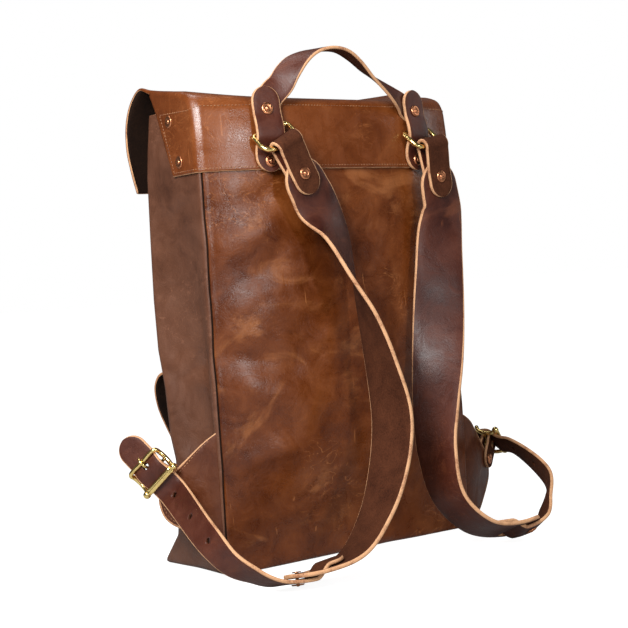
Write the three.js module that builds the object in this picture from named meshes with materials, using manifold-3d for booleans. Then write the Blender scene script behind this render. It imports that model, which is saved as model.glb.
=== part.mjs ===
// A leather rucksack with two shoulder straps, standing on a flat floor.
// Millimetres. +Z is up, +Y is the side that lies against the wearer's back, +X is the wearer's right.
// The origin is on the floor, under the middle of the bag.
import * as THREE from 'three';
import { mergeVertices } from 'three/addons/utils/BufferGeometryUtils.js';
import Module from 'manifold-3d';

const wasm = await Module();
wasm.setup();

// ---- Driving dimensions ---------------------------------------------------------------------

const BAG = { width: 300, height: 433, backY: 56, bulge: 24, frontY: -47 };
const HALF = BAG.width / 2;
const LEATHER = 2.4;             // body panels
const YOKE_LEATHER = 2.6;        // yoke and flap, cut from one hide
const STRAP_LEATHER = 3.8;       // shoulder straps
const TAB_LEATHER = 3.4;         // chapes, adjusting straps, handle
const GAP = 0.3;                 // air left between two pieces that touch

const YOKE = { bottom: 370, tabBottomY: 14, tabTopY: -10 };
const FLAP_TIP_HALF = 149;
const POCKET = { halfWidth: 143, bottom: 10, top: 166, frontY: -64, studZ: 140 };

const CHAPE = { x: 87, width: 25.4, top: 446, bottom: 367, ringZ: 407 };
const RING = { wire: 2, halfBar: 18, depth: 23 };
const STRAP = { width: 50.8, topWidth: 38, tipWidth: 40 };
const ADJUSTER = { width: 30, holeRadius: 2.4, holePitch: 30 };
const BUCKLE = { halfWidth: 18.5, halfLength: 15, rise: 6.2, wire: 1.7, centreWire: 1.5, ball: 2.9 };
const PRONG = { hole: 6.5, size: 2.4, eyeRadius: 2.85, eyeWire: 0.95 };
const RIVET = { headRadius: 5.8, headHeight: 1.5, shaft: 1.6, burrRadius: 4.2, burrHeight: 1.1 };

// ---- Colours --------------------------------------------------------------------------------

const leather = (color, roughness = 0.55) =>
  new THREE.MeshStandardMaterial({ color, roughness, metalness: 0 });
const metal = (color, roughness = 0.3) =>
  new THREE.MeshStandardMaterial({ color, roughness, metalness: 1 });
const BODY = leather(0x7a3a18);
const GUSSET = leather(0x6d3a20);
const STRAPPING = leather(0x4a1d12);
const LINING = leather(0x2a1a12, 0.9);
const BRASS = metal(0xd9b24a);
const COPPER = metal(0xb8663a);

// ---- Small vector tools ---------------------------------------------------------------------

const v = (x, y, z) => new THREE.Vector3(x, y, z);
const unit = (vector) => vector.clone().normalize();
const along = (point, direction, distance) => point.clone().addScaledVector(direction, distance);
const clamp01 = (value) => Math.min(1, Math.max(0, value));

// ---- Solids: joining and cutting ------------------------------------------------------------

function toSolid(geometry) {
  const bare = geometry.clone();
  bare.deleteAttribute('normal');
  bare.deleteAttribute('uv');
  const merged = mergeVertices(bare, 1e-4);
  return new wasm.Manifold(new wasm.Mesh({
    numProp: 3,
    vertProperties: new Float32Array(merged.attributes.position.array),
    triVerts: new Uint32Array(merged.index.array),
  }));
}

function toGeometry(solid) {
  const mesh = solid.getMesh();
  const geometry = new THREE.BufferGeometry();
  geometry.setAttribute('position', new THREE.BufferAttribute(new Float32Array(mesh.vertProperties), 3));
  geometry.setIndex(new THREE.BufferAttribute(new Uint32Array(mesh.triVerts), 1));
  return geometry;
}

const join = (...parts) => toGeometry(parts.map(toSolid).reduce((whole, part) => whole.add(part)));
const cut = (body, ...tools) =>
  toGeometry(tools.map(toSolid).reduce((left, tool) => left.subtract(tool), toSolid(body)));

function place(geometry, position, xAxis, yAxis, zAxis) {
  const matrix = new THREE.Matrix4().makeBasis(xAxis, yAxis, zAxis).setPosition(position);
  return geometry.clone().applyMatrix4(matrix);
}

// Turns a geometry's +Z to a direction and moves it to a point.
function aim(geometry, position, direction) {
  const turn = new THREE.Quaternion().setFromUnitVectors(v(0, 0, 1), unit(direction));
  const matrix = new THREE.Matrix4().compose(position, turn, v(1, 1, 1));
  return geometry.clone().applyMatrix4(matrix);
}

const box = (x0, x1, y0, y1, z0, z1) =>
  new THREE.BoxGeometry(x1 - x0, y1 - y0, z1 - z0).translate((x0 + x1) / 2, (y0 + y1) / 2, (z0 + z1) / 2);

// A flat plate: an outline in (y, z), pushed out along +X from x0 to x1.
function plateYZ(points, x0, x1) {
  const shape = new THREE.Shape(points.map(([y, z]) => new THREE.Vector2(y, z)));
  const plate = new THREE.ExtrudeGeometry(shape, { depth: x1 - x0, bevelEnabled: false });
  return place(plate, v(x0, 0, 0), v(0, 1, 0), v(0, 0, 1), v(1, 0, 0));
}

// ---- Sheets of leather ----------------------------------------------------------------------

function signedVolume(position, index) {
  const [a, b, c] = [v(0, 0, 0), v(0, 0, 0), v(0, 0, 0)];
  let volume = 0;
  for (let i = 0; i < index.length; i += 3) {
    a.fromArray(position, index[i] * 3);
    b.fromArray(position, index[i + 1] * 3);
    c.fromArray(position, index[i + 2] * 3);
    volume += a.dot(b.cross(c));
  }
  return volume;
}

// A closed sheet between two grids of points, outer and inner, that have the same rows.
function closedSheet(outer, inner) {
  const rows = outer.length;
  const columns = outer[0].length;
  const position = [...outer.flat(), ...inner.flat()].flatMap((point) => point.toArray());
  const layer = rows * columns;
  const at = (side, row, column) => side * layer + row * columns + column;
  const index = [];
  const quad = (a, b, c, d) => index.push(a, b, c, a, c, d);
  for (let r = 0; r < rows - 1; r += 1) {
    for (let c = 0; c < columns - 1; c += 1) {
      quad(at(0, r, c), at(0, r, c + 1), at(0, r + 1, c + 1), at(0, r + 1, c));
      quad(at(1, r, c), at(1, r + 1, c), at(1, r + 1, c + 1), at(1, r, c + 1));
    }
    quad(at(0, r, 0), at(0, r + 1, 0), at(1, r + 1, 0), at(1, r, 0));
    quad(at(0, r, columns - 1), at(1, r, columns - 1), at(1, r + 1, columns - 1), at(0, r + 1, columns - 1));
  }
  for (let c = 0; c < columns - 1; c += 1) {
    quad(at(0, 0, c), at(1, 0, c), at(1, 0, c + 1), at(0, 0, c + 1));
    quad(at(0, rows - 1, c), at(0, rows - 1, c + 1), at(1, rows - 1, c + 1), at(1, rows - 1, c));
  }
  if (signedVolume(position, index) < 0) index.reverse();
  const geometry = new THREE.BufferGeometry();
  geometry.setAttribute('position', new THREE.Float32BufferAttribute(position, 3));
  geometry.setIndex(index);
  return geometry;
}

// A sheet that is the same all along X: an outer profile in (y, z) with a half width at each point.
function profileSheet(profile, thickness) {
  const points = profile.map(([y, z]) => v(0, y, z));
  const inner = points.map((point, i) => {
    const before = points[Math.max(0, i - 1)];
    const after = points[Math.min(points.length - 1, i + 1)];
    const tangent = unit(after.clone().sub(before));
    return along(point, v(0, tangent.z, -tangent.y), -thickness);
  });
  const spread = (line) => line.map((point, i) =>
    [-1, 1].map((side) => v(side * profile[i][2], point.y, point.z)));
  return closedSheet(spread(points), spread(inner));
}

// ---- Ribbons: straps, chapes and the handle -------------------------------------------------

// Samples a centre line and the direction across it, both given as a few points, by distance.
function track(stations, samples = 240) {
  const centre = new THREE.CatmullRomCurve3(stations.map((s) => s.at), false, 'centripetal');
  const across = new THREE.CatmullRomCurve3(stations.map((s) => s.across), false, 'catmullrom', 0.5);
  const table = [{ distance: 0, at: centre.getPoint(0), across: unit(across.getPoint(0)) }];
  for (let i = 1; i <= samples; i += 1) {
    const point = centre.getPoint(i / samples);
    const last = table[table.length - 1];
    table.push({
      distance: last.distance + point.distanceTo(last.at),
      at: point,
      across: unit(across.getPoint(i / samples)),
    });
  }
  return { table, length: table[samples].distance };
}

// The place on a track at a distance from its start: a point and the three directions there.
function stationAt(ribbonTrack, distance) {
  const { table } = ribbonTrack;
  let i = table.findIndex((entry) => entry.distance >= distance);
  i = Math.max(1, i < 0 ? table.length - 1 : i);
  const [a, b] = [table[i - 1], table[i]];
  const part = (distance - a.distance) / (b.distance - a.distance);
  const forward = unit(b.at.clone().sub(a.at));
  const across = a.across.clone().lerp(b.across, part);
  const flat = unit(across.addScaledVector(forward, -across.dot(forward)));
  const normal = unit(flat.clone().cross(forward));
  return { at: a.at.clone().lerp(b.at, part), forward, across: flat, normal };
}

// Evenly spaced places along a track.
const evenSpots = (ribbonTrack, count) =>
  Array.from({ length: count + 1 }, (_, i) => stationAt(ribbonTrack, (ribbonTrack.length * i) / count));

// The width of a strap end that is cut round, at a distance from the very end.
function roundedWidth(width, fromEnd) {
  const radius = width / 2;
  if (fromEnd >= radius) return width;
  return 2 * Math.sqrt(Math.max(0, radius ** 2 - (radius - fromEnd) ** 2));
}

const END_STEPS = [0.05, 0.2, 0.5, 1];

// A strap of leather along a track, cut round at both ends.
function ribbon(ribbonTrack, widthAt, thickness, spacing) {
  const { length } = ribbonTrack;
  const radius0 = widthAt(0) / 2;
  const radius1 = widthAt(length) / 2;
  const middle = length - radius0 - radius1;
  const count = Math.max(1, Math.round(middle / spacing));
  const distances = END_STEPS.map((step) => step * radius0);
  for (let i = 1; i < count; i += 1) distances.push(radius0 + (middle * i) / count);
  distances.push(...END_STEPS.map((step) => length - step * radius1).reverse());
  const sides = [thickness / 2, -thickness / 2];
  const [outer, inner] = sides.map((offset) => distances.map((distance) => {
    const place0 = stationAt(ribbonTrack, distance);
    const width = roundedWidth(widthAt(distance), Math.min(distance, length - distance));
    const centre = along(place0.at, place0.normal, offset);
    return [along(centre, place0.across, width / 2), along(centre, place0.across, -width / 2)];
  }));
  return closedSheet(outer, inner);
}

// A strip folded over a bar, with both legs on one side of it, as a chape holds a ring or buckle.
// 'down' runs from the bar to the ends of the legs; the legs lie at two offsets along 'out'.
function foldedTab({ bar, down, out, legLength, outerLeg, innerLeg, loopRadius, width, thickness }) {
  const across = unit(down.clone().cross(out));
  const loop = loopRadius + thickness / 2;
  const spot = (a, n) => ({ at: along(along(bar, down, a), out, n), across });
  const straight = [legLength, legLength * 0.72, legLength * 0.45];
  const neck = loop * 1.5;
  const stations = straight.map((a) => spot(a, outerLeg));
  stations.push(spot(neck, outerLeg + (loop - outerLeg) * 0.5));
  for (const degrees of [62, 90, 135, 180, 225, 270, 298]) {
    const angle = THREE.MathUtils.degToRad(degrees);
    stations.push(spot(loop * Math.cos(angle), loop * Math.sin(angle)));
  }
  stations.push(spot(neck, innerLeg - (loop + innerLeg) * 0.5));
  stations.push(...straight.reverse().map((a) => spot(a, innerLeg)));
  return ribbon(track(stations), () => width, thickness, 4.5);
}

// ---- The stuffed body -----------------------------------------------------------------------

// The outer face of the back panel: flat at the seams, pushed out in the middle by what is inside.
function backFace(x, z) {
  const base = BAG.backY - 0.13 * Math.max(0, Math.min(z, BAG.height) - 400);
  const rise = clamp01(z / 120);
  const bulge = BAG.bulge * rise * rise * (3 - 2 * rise);
  return base + bulge * (1 - Math.min(1, Math.abs(x) / HALF) ** 3);
}

// The outer face of the front panel: the base stands forward, the top leans back under the flap.
function frontFace(z) {
  if (z < 180) return BAG.frontY - 11 * (1 - z / 180);
  return BAG.frontY + 15 * clamp01((z - 400) / 32);
}

const PANEL_TOP = BAG.height - 1.4;
const PANEL_ROWS = [2.7, 30, 60, 90, 120, 180, 260, 340, 400, PANEL_TOP];
const PANEL_COLUMNS = 12;
const spreadX = (halfWidth, columns = PANEL_COLUMNS) =>
  Array.from({ length: columns + 1 }, (_, i) => halfWidth * ((2 * i) / columns - 1));
const panelX = spreadX(HALF);

// A sheet that follows the back panel between two offsets from its outer face.
function backSheet(rows, halfWidth, outerOffset, innerOffset) {
  const grid = (offset) => rows.map((z) => spreadX(halfWidth).map((x) => v(x, backFace(x, z) + offset, z)));
  return closedSheet(grid(outerOffset), grid(innerOffset));
}

function frontPanel() {
  const rows = [2.7, 60, 120, 180, 400, 432];
  const grid = (offset) => rows.map((z) => [-HALF, HALF].map((x) => v(x, frontFace(z) + offset, z)));
  return closedSheet(grid(0), grid(LEATHER));
}

function gusset(side) {
  const front = [2.7, 180, 400, 432].map((z) => [frontFace(z) + LEATHER + GAP, z]);
  const back = [BAG.height, 400, 2.7].map((z) => [backFace(HALF, z) - LEATHER - GAP, z]);
  const outline = [...front, ...back];
  return side > 0 ? plateYZ(outline, HALF - LEATHER, HALF) : plateYZ(outline, -HALF, -HALF + LEATHER);
}

const bottomPanel = () => box(-HALF, HALF, frontFace(0), BAG.backY, 0, LEATHER);

const innerPocket = () => backSheet([120, 180, 240, 300], 80, -LEATHER - GAP, -LEATHER - GAP - 2);

// ---- Yoke and flap --------------------------------------------------------------------------

// Top of the bag in section: y, z, share of the bulge, share of the saddle (ends higher than middle).
const SADDLE = 11;
const ARCH = [
  [54.6, 433, 1, 0],
  [50, 438.5, 0.85, 0.35],
  [36, 442.5, 0.55, 0.7],
  [15, 445, 0.25, 0.9],
  [-5, 446, 0.05, 1],
  [-20.3, 446, 0, 1],
];
const archZ = ([, z, , saddle], x) => z + SADDLE * saddle * (x / HALF) ** 2;
const archY = ([y, , bulge], x) => y + bulge * BAG.bulge * (1 - Math.min(1, Math.abs(x) / HALF) ** 3);

// Sections given as rows of y, z and half width, each lifted by the saddle, offset along their normals.
function saddleSheet(rows, thickness, columnsAt) {
  const normals = rows.map((_, i) => {
    const before = rows[Math.max(0, i - 1)];
    const after = rows[Math.min(rows.length - 1, i + 1)];
    const tangent = unit(v(0, after.y - before.y, after.z - before.z));
    return v(0, tangent.z, -tangent.y);
  });
  const grid = (offset) => rows.map((row, i) => columnsAt(row).map((x) =>
    v(x, row.bend(x)[0] + normals[i].y * offset, row.bend(x)[1] + normals[i].z * offset)));
  return closedSheet(grid(0), grid(-thickness));
}

const TAB_X = HALF + GAP;
const YOKE_HALF = TAB_X + YOKE_LEATHER;

// One side tab of the yoke, folded round onto the gusset and up to the arch.
function yokeTab(side) {
  const bottomY = BAG.backY + 1.6;
  const archEnd = ARCH[ARCH.length - 1][0];
  const arch = ARCH.map((row) => [Math.max(row[0] - 1.3, archEnd), archZ(row, HALF) - (row[3] ? 1.3 : 0)]);
  const outline = [
    [YOKE.tabTopY, BAG.height],
    [YOKE.tabBottomY, YOKE.bottom],
    [bottomY, YOKE.bottom],
    [bottomY, 400],
    ...arch,
  ];
  return side > 0 ? plateYZ(outline, TAB_X, YOKE_HALF) : plateYZ(outline, -YOKE_HALF, -TAB_X);
}

function yoke() {
  const outer = GAP + YOKE_LEATHER;
  const back = [YOKE.bottom, 385, 400, 415].map((z) => ({
    y: backFace(HALF, z) + outer,
    z,
    bend: (x) => [backFace(x, z) + outer, z],
  }));
  const arch = ARCH.map((row) => ({
    y: row[0],
    z: row[1],
    bend: (x) => [archY(row, x), archZ(row, x)],
  }));
  const columnsAt = () => [-YOKE_HALF, ...panelX, YOKE_HALF];
  return join(saddleSheet([...back, ...arch], YOKE_LEATHER, columnsAt), yokeTab(1), yokeTab(-1));
}

// The flap: y, z, half width, share of the saddle, from the fold to the tip.
const FLAP_ROWS = [
  [-21, 446, YOKE_HALF, 1],
  [-34, 444.5, 156, 0.95],
  [-46, 437, 158, 0.7],
  [-55, 424, 158, 0.4],
  [-60, 403, 157, 0.1],
  [-62, 382, 153, 0],
  [-64, 361, FLAP_TIP_HALF, 0],
];

function flap() {
  const rows = FLAP_ROWS.map(([y, z, halfWidth, saddle]) => ({
    y,
    z,
    halfWidth,
    bend: (x) => [y, archZ([y, z, 0, saddle], x)],
  }));
  return saddleSheet(rows, YOKE_LEATHER, (row) => spreadX(row.halfWidth, 8));
}

// ---- Rivets and studs -----------------------------------------------------------------------

// A rivet that holds a stack of leather: the top of the stack is at 'surface', 'out' points away from it.
function rivet(surface, out, grip) {
  const { headRadius, headHeight, shaft, burrRadius, burrHeight } = RIVET;
  const play = 0.15;
  const profile = [
    [0, play + headHeight],
    [headRadius - 1.4, play + headHeight],
    [headRadius, play + headHeight * 0.45],
    [headRadius, play],
    [shaft, play],
    [shaft, -grip - play],
    [burrRadius, -grip - play],
    [burrRadius, -grip - play - burrHeight],
    [0, -grip - play - burrHeight],
  ];
  return aim(turned(profile), surface, out);
}

// A solid of revolution about +Z from a profile of radius and height.
function turned(profile) {
  const points = [...profile].reverse().map(([r, h]) => new THREE.Vector2(r, h));
  const lathe = new THREE.LatheGeometry(points, 10);
  return toGeometry(toSolid(lathe.rotateX(Math.PI / 2)));
}

const HOLE = RIVET.shaft + GAP;

// Drills holes through a piece: each hole has a point, a direction and, if not the rivet's, a radius.
function drilled(geometry, ...holes) {
  const tools = holes.map(({ at, out, radius = HOLE, depth = 40 }) =>
    aim(new THREE.CylinderGeometry(radius, radius, depth, 10).rotateX(Math.PI / 2), at, out));
  return cut(geometry, ...tools);
}

// A brass closing stud on a panel of leather; 'neck' is how far the ball stands off the leather.
function closingStud(surface, out, neck) {
  const ball = 4.25;
  const profile = [];
  for (let i = 0; i <= 6; i += 1) {
    const angle = (i / 6) * Math.PI * 0.84;
    profile.push([ball * Math.sin(angle), neck + ball + ball * Math.cos(angle)]);
  }
  const foot = RIVET.burrRadius;
  profile.push([2, neck], [2, 1.5], [6, 1.3], [6, 0.2], [RIVET.shaft, 0.2], [RIVET.shaft, -LEATHER - 0.2]);
  profile.push([foot, -LEATHER - 0.2], [foot, -LEATHER - 1.3], [0, -LEATHER - 1.3]);
  return aim(turned(profile), surface, out);
}

// ---- Front closure and pocket ---------------------------------------------------------------

const FRONT = v(0, -1, 0);
const STUD_Z = 303;
const STUD_HOLE = 4.8;
const CLOSURE_THICK = 3;

// The closing strap lies on the flap and reaches down to the stud: y, z, half width of its outer face.
const CLOSURE_ROWS = [
  [-59.4, 421, 19],
  [-63.6, 403, 19],
  [-65.5, 382, 19],
  [-67.5, 361, 19],
  [-63, 340, 19],
  [-55, 322, 19],
  [-52.2, 308, 19],
  [-52.2, 295, 18],
  [-52.2, 287, 13],
  [-52.2, 283, 5],
];
const CLOSURE_RIVETS = [9, -9].map((x) => ({ at: v(x, -64.6, 392), out: unit(v(0, -1, 0.09)) }));

// A hole for a stud, made long downward so that the ball slips out when the leather is lifted.
function studHole(geometry, z, y, stretch) {
  const drops = [0, stretch / 2, stretch];
  const holes = drops.map((drop) => ({ at: v(0, y, z - drop), out: FRONT, radius: STUD_HOLE }));
  return drilled(geometry, ...holes);
}

function closureStrap() {
  const strap = profileSheet(CLOSURE_ROWS, CLOSURE_THICK);
  return drilled(studHole(strap, STUD_Z, CLOSURE_ROWS[6][0], 7), ...CLOSURE_RIVETS);
}

const closureRivet = ({ at, out }) => rivet(at, out, CLOSURE_THICK + GAP + YOKE_LEATHER + 0.4);

// An open-topped pocket: a front wall and a bottom and two side walls that meet the front panel.
function frontPocket() {
  const { halfWidth, bottom, top, frontY } = POCKET;
  const section = (inset, low, high) => [
    [frontY + inset, low],
    [frontY + inset, high],
    [frontFace(high) - GAP + inset * 4, high],
    [frontFace(low) - GAP + inset * 4, low],
  ];
  const shell = plateYZ(section(0, bottom, top), -halfWidth, halfWidth);
  const innerHalf = halfWidth - LEATHER;
  const inside = plateYZ(section(LEATHER, bottom + LEATHER, top + 5), -innerHalf, innerHalf);
  return drilled(cut(shell, inside), { at: v(0, frontY, POCKET.studZ), out: FRONT, depth: 16 });
}

const POCKET_FLAP_ROWS = [
  [-47.7, 185, 146],
  [-56, 184.5, 146],
  [-63.5, 180.5, 145],
  [-67.5, 170, 143],
  [-68.5, 145, 139],
  [-67.5, 113, 134],
];
const pocketFlap = () =>
  studHole(profileSheet(POCKET_FLAP_ROWS, LEATHER), POCKET.studZ, POCKET_FLAP_ROWS[4][0], 8);

// ---- Chapes, rings and handle ends on the yoke ----------------------------------------------

const UPPER_RIVET_Z = 425;
const LOWER_RIVET_Z = 377;
const LAYER_1 = GAP + YOKE_LEATHER + GAP;                    // inner face of what lies on the yoke
const LAYER_2 = LAYER_1 + TAB_LEATHER + GAP;                 // inner face of what lies on that
const BACK = v(0, 1, 0);

// The back slopes sideways where the chapes lie: the directions off it and across it there.
const SIDE_SLOPE = 0.164;
const yokeOut = (side) => unit(v(SIDE_SLOPE * side, 1, 0));
const yokeTopOut = (side) => unit(v(SIDE_SLOPE * side, 1, 0.13));
const flatAcross = (side) => unit(v(1, -SIDE_SLOPE * side, 0));

// A point over the yoke at a height, at a distance out from the back panel, on one side of the bag.
const onYoke = (side, z, offset) =>
  along(v(side * CHAPE.x, backFace(CHAPE.x, z), z), yokeOut(side), offset);

// The line of the upper rivet, from the top of the stack of leather it holds.
const upperAxis = (side) => ({
  at: onYoke(side, UPPER_RIVET_Z, LAYER_2 + TAB_LEATHER + 0.15),
  out: yokeTopOut(side),
});

// The upper chape: down over the handle end, over the bar of the ring, and down onto the yoke.
function upperChape(side) {
  const high = LAYER_2 + TAB_LEATHER / 2;
  const low = LAYER_1 + TAB_LEATHER / 2;
  const line = [
    [CHAPE.top, high],
    [430, high],
    [420, high],
    [CHAPE.ringZ + 7, high + 1.2],
    [CHAPE.ringZ - 2, high + 2],
    [CHAPE.ringZ - 9, high + 1.3],
    [CHAPE.ringZ - 16, low + 1.6],
    [CHAPE.ringZ - 22, low],
    [376, low],
    [CHAPE.bottom, low],
  ];
  const stations = line.map(([z, offset]) => ({ at: onYoke(side, z, offset), across: flatAcross(side) }));
  const strip = ribbon(track(stations), () => CHAPE.width, TAB_LEATHER, 5);
  return drilled(
    strip,
    upperAxis(side),
    { at: onYoke(side, LOWER_RIVET_Z, low), out: yokeOut(side) },
  );
}

function handleEnd(side) {
  const middle = LAYER_1 + TAB_LEATHER / 2;
  const heights = [444.6, 436, 427, 419, 412.5];
  const stations = heights.map((z) => ({ at: onYoke(side, z, middle), across: flatAcross(side) }));
  const strip = ribbon(track(stations), () => CHAPE.width - 1, TAB_LEATHER - 0.4, 8);
  return drilled(strip, upperAxis(side));
}

const upperRivet = (side) => rivet(upperAxis(side).at, yokeTopOut(side), LAYER_2 + TAB_LEATHER + LEATHER + 0.5);
const lowerRivet = (side) => rivet(onYoke(side, LOWER_RIVET_Z, LAYER_1 + TAB_LEATHER + 0.1), yokeOut(side),
  LAYER_1 + TAB_LEATHER + LEATHER + 0.4);
const backHoles = [1, -1].flatMap((side) => [
  upperAxis(side),
  { at: onYoke(side, LOWER_RIVET_Z, 0), out: yokeOut(side) },
]);

// The four rivets that hold the tabs of the yoke to the gussets: y and z.
const TAB_RIVETS = [[13, 421], [27, 382]];
const tabHoles = (side) =>
  TAB_RIVETS.map(([y, z]) => ({ at: v(side * HALF, y, z), out: v(side, 0, 0), depth: 12 }));
const tabRivet = (side, [y, z]) =>
  rivet(v(side * YOKE_HALF, y, z), v(side, 0, 0), YOKE_LEATHER + GAP + LEATHER);

// A closed loop of round wire through a list of points.
function wireLoop(points, radius, steps) {
  const curve = new THREE.CatmullRomCurve3(points, true, 'centripetal');
  return toGeometry(toSolid(new THREE.TubeGeometry(curve, steps, radius, 7, true)));
}

// The D-ring: a straight bar under the hump of the chape and a bow that stands out and down.
// The pull of the strap turns it sideways: 'shift' moves it along its bar, 'lean' turns the bow.
const RING_SIDES = { 1: { shift: -1.5, lean: 20, loop: -3 }, '-1': { shift: -1, lean: 8, loop: -3 } };

function ringFrame(side) {
  const { shift, lean } = RING_SIDES[side];
  const out = yokeOut(side);
  const turn = new THREE.Quaternion().setFromAxisAngle(out, THREE.MathUtils.degToRad(lean));
  const bar = flatAcross(side).applyQuaternion(turn);
  const down = v(0, 0, -1).applyQuaternion(turn);
  const middle = along(onYoke(side, CHAPE.ringZ - 2, LAYER_1 + RING.wire + 0.6), bar, shift);
  const drop = along(BACK, down, 0.97);
  return { middle, bar, drop: unit(along(drop, bar, -drop.dot(bar))) };
}

function dRing(side) {
  const { middle, bar, drop } = ringFrame(side);
  const { halfBar, depth } = RING;
  const corner = 5;
  const wide = halfBar + 0.8;
  const half = [[12, 0], [halfBar, 1.2], [wide, depth * 0.4]];
  for (const degrees of [0, 45, 90]) {
    const angle = THREE.MathUtils.degToRad(degrees);
    half.push([wide - corner + corner * Math.cos(angle), depth - corner + corner * Math.sin(angle)]);
  }
  const other = half.map(([x, fall]) => [-x, fall]).reverse();
  const loop = [[0, 0], ...half, [0, depth], ...other];
  const points = loop.map(([x, fall]) => along(along(middle, bar, x), drop, fall));
  return wireLoop(points, RING.wire, 40);
}

// Where the fold chape hangs in the bow of the ring.
function hangPoint(side) {
  const { middle, bar, drop } = ringFrame(side);
  return along(along(middle, drop, RING.depth), bar, RING_SIDES[side].loop);
}

// ---- Shoulder straps ------------------------------------------------------------------------

// The direction each strap takes as it leaves the ring.
const LEAVE = { 1: unit(v(-12.5, -1, -28)), '-1': unit(v(-5.5, -2, -28)) };
const FOLD = { loopRadius: 5.2, legLength: 52, rivetAt: 31.5, strapStart: 17 };

const foldOut = (side) => {
  const down = LEAVE[side];
  return unit(BACK.clone().addScaledVector(down, -BACK.dot(down)));
};

function foldChape(side) {
  const down = LEAVE[side];
  const out = foldOut(side);
  const bar = hangPoint(side);
  const leg = STRAP_LEATHER / 2 + GAP + TAB_LEATHER / 2;
  const tab = foldedTab({
    bar, down, out, legLength: FOLD.legLength, outerLeg: leg, innerLeg: -leg,
    loopRadius: FOLD.loopRadius, width: CHAPE.width, thickness: TAB_LEATHER,
  });
  return drilled(tab, { at: along(bar, down, FOLD.rivetAt), out });
}

function foldRivet(side) {
  const half = STRAP_LEATHER / 2 + GAP + TAB_LEATHER;
  const middle = along(hangPoint(side), LEAVE[side], FOLD.rivetAt);
  return rivet(along(middle, foldOut(side), half), foldOut(side), 2 * half);
}

// The run of each strap after it leaves the fold chape: x, y, z, and the direction across it.
const STRAP_RUNS = {
  1: [
    [37, 102, 311, 0.92, 0.4, -0.07],
    [29, 114, 267, 0.67, 0.74, 0.06],
    [21, 125, 224, 0.32, 0.94, 0.16],
    [16, 134, 179, 0.05, 0.98, 0.18],
    [15, 142, 134, -0.16, 0.98, 0.15],
    [29, 150, 91, -0.12, 0.99, 0.12],
    [52, 156, 52, 0, 0.99, 0.14],
    [84, 160, 22, 0.1, 0.98, 0.17],
    [117, 158, 13, 0.15, 0.97, 0.18],
    [150, 152, 12, 0.2, 0.96, 0.22],
    [174, 145, 16, 0.19, 0.87, 0.45],
    [191, 131, 27, 0.04, 0.72, 0.69],
    [199, 105, 48, -0.27, 0.53, 0.8],
    [199, 72, 62, -0.46, 0.44, 0.77],
  ],
  '-1': [
    [-101, 92, 298, 0.97, -0.2, 0.12],
    [-93, 97, 262, 0.93, -0.35, 0.11],
    [-85, 101, 220, 0.81, -0.58, 0.1],
    [-72, 110, 177, 0.61, -0.79, 0],
    [-55, 123, 136, 0.37, -0.92, -0.15],
    [-42, 136, 94, 0.11, -0.96, -0.25],
    [-43, 148, 52, -0.07, -0.96, -0.25],
    [-68, 158, 23, -0.07, -0.96, -0.28],
    [-105, 163, 15, -0.03, -0.9, -0.42],
    [-140, 162, 19, -0.02, -0.81, -0.59],
    [-176, 144, 38, -0.09, -0.55, -0.83],
    [-202, 110, 55, -0.3, -0.25, -0.92],
    [-213, 72, 66, -0.48, -0.2, -0.85],
  ],
};

// The strap through the buckle: distance past the centre bar, height over it.
const BUCKLE_RUN = [
  [-26, 4.4], [-15, 1.6], [-7.5, 5.2], [0, 7.6], [7.5, 5.2], [15, 1.6], [23, 1.4], [33, 2.4], [43, 4],
];

function strapTrack(side) {
  const down = LEAVE[side];
  const bar = hangPoint(side);
  const across = unit(down.clone().cross(foldOut(side)));
  const top = [FOLD.strapStart, 34, 52, 62].map((distance) => ({ at: along(bar, down, distance), across }));
  const run = STRAP_RUNS[side].map(([x, y, z, a, b, c]) => ({ at: v(x, y, z), across: unit(v(a, b, c)) }));
  const seat = buckleSeat(side);
  const end = BUCKLE_RUN.map(([a, n]) => ({
    at: along(along(seat.bar, seat.forward, a), seat.normal, n),
    across: seat.across,
  }));
  return track([...top, ...run, ...end], 900);
}

// The distance along a track that is nearest to a point.
function nearest(ribbonTrack, point) {
  const best = ribbonTrack.table.reduce((a, b) => (a.at.distanceTo(point) < b.at.distanceTo(point) ? a : b));
  return best.distance;
}

// A new track that follows part of another at a changing offset along its normal.
function offsetTrack(base, from, to, offsetAt, step = 6) {
  const count = Math.ceil((to - from) / step);
  const stations = Array.from({ length: count + 1 }, (_, i) => {
    const distance = from + ((to - from) * i) / count;
    const spot = stationAt(base, distance);
    return { at: along(spot.at, spot.normal, offsetAt(distance)), across: spot.across };
  });
  return track(stations, 700);
}

const smooth = (low, high, value) => {
  const t = clamp01((value - low) / (high - low));
  return t * t * (3 - 2 * t);
};

// Where the wide strap ends, and the slot in it that the adjusting strap passes through.
const JOINT_POINT = { 1: v(152, 151, 12), '-1': v(-137, 163, 18) };
const JOINT = { slotBack: 31, slotLength: 15, slotWidth: 31.5, lead: 27, offset: 4.8, rivetBack: 11 };

function jointDistances(side, base) {
  const tip = nearest(base, JOINT_POINT[side]);
  const slot = tip - JOINT.slotBack;
  return { tip, slot, start: slot - JOINT.lead, rivet: tip - JOINT.rivetBack };
}

function adjusterTrack(side, base) {
  const { tip, slot, start } = jointDistances(side, base);
  const offset = (s) => 2 * JOINT.offset * smooth(slot - 7.5, slot + 7.5, s) - JOINT.offset
    - JOINT.offset * smooth(tip + 4, tip + 34, s);
  return offsetTrack(base, start, base.length, offset, 3.4);
}

function jointRivetSpot(side, base) {
  const spot = stationAt(base, jointDistances(side, base).rivet);
  return { at: spot.at, out: spot.normal };
}

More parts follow.
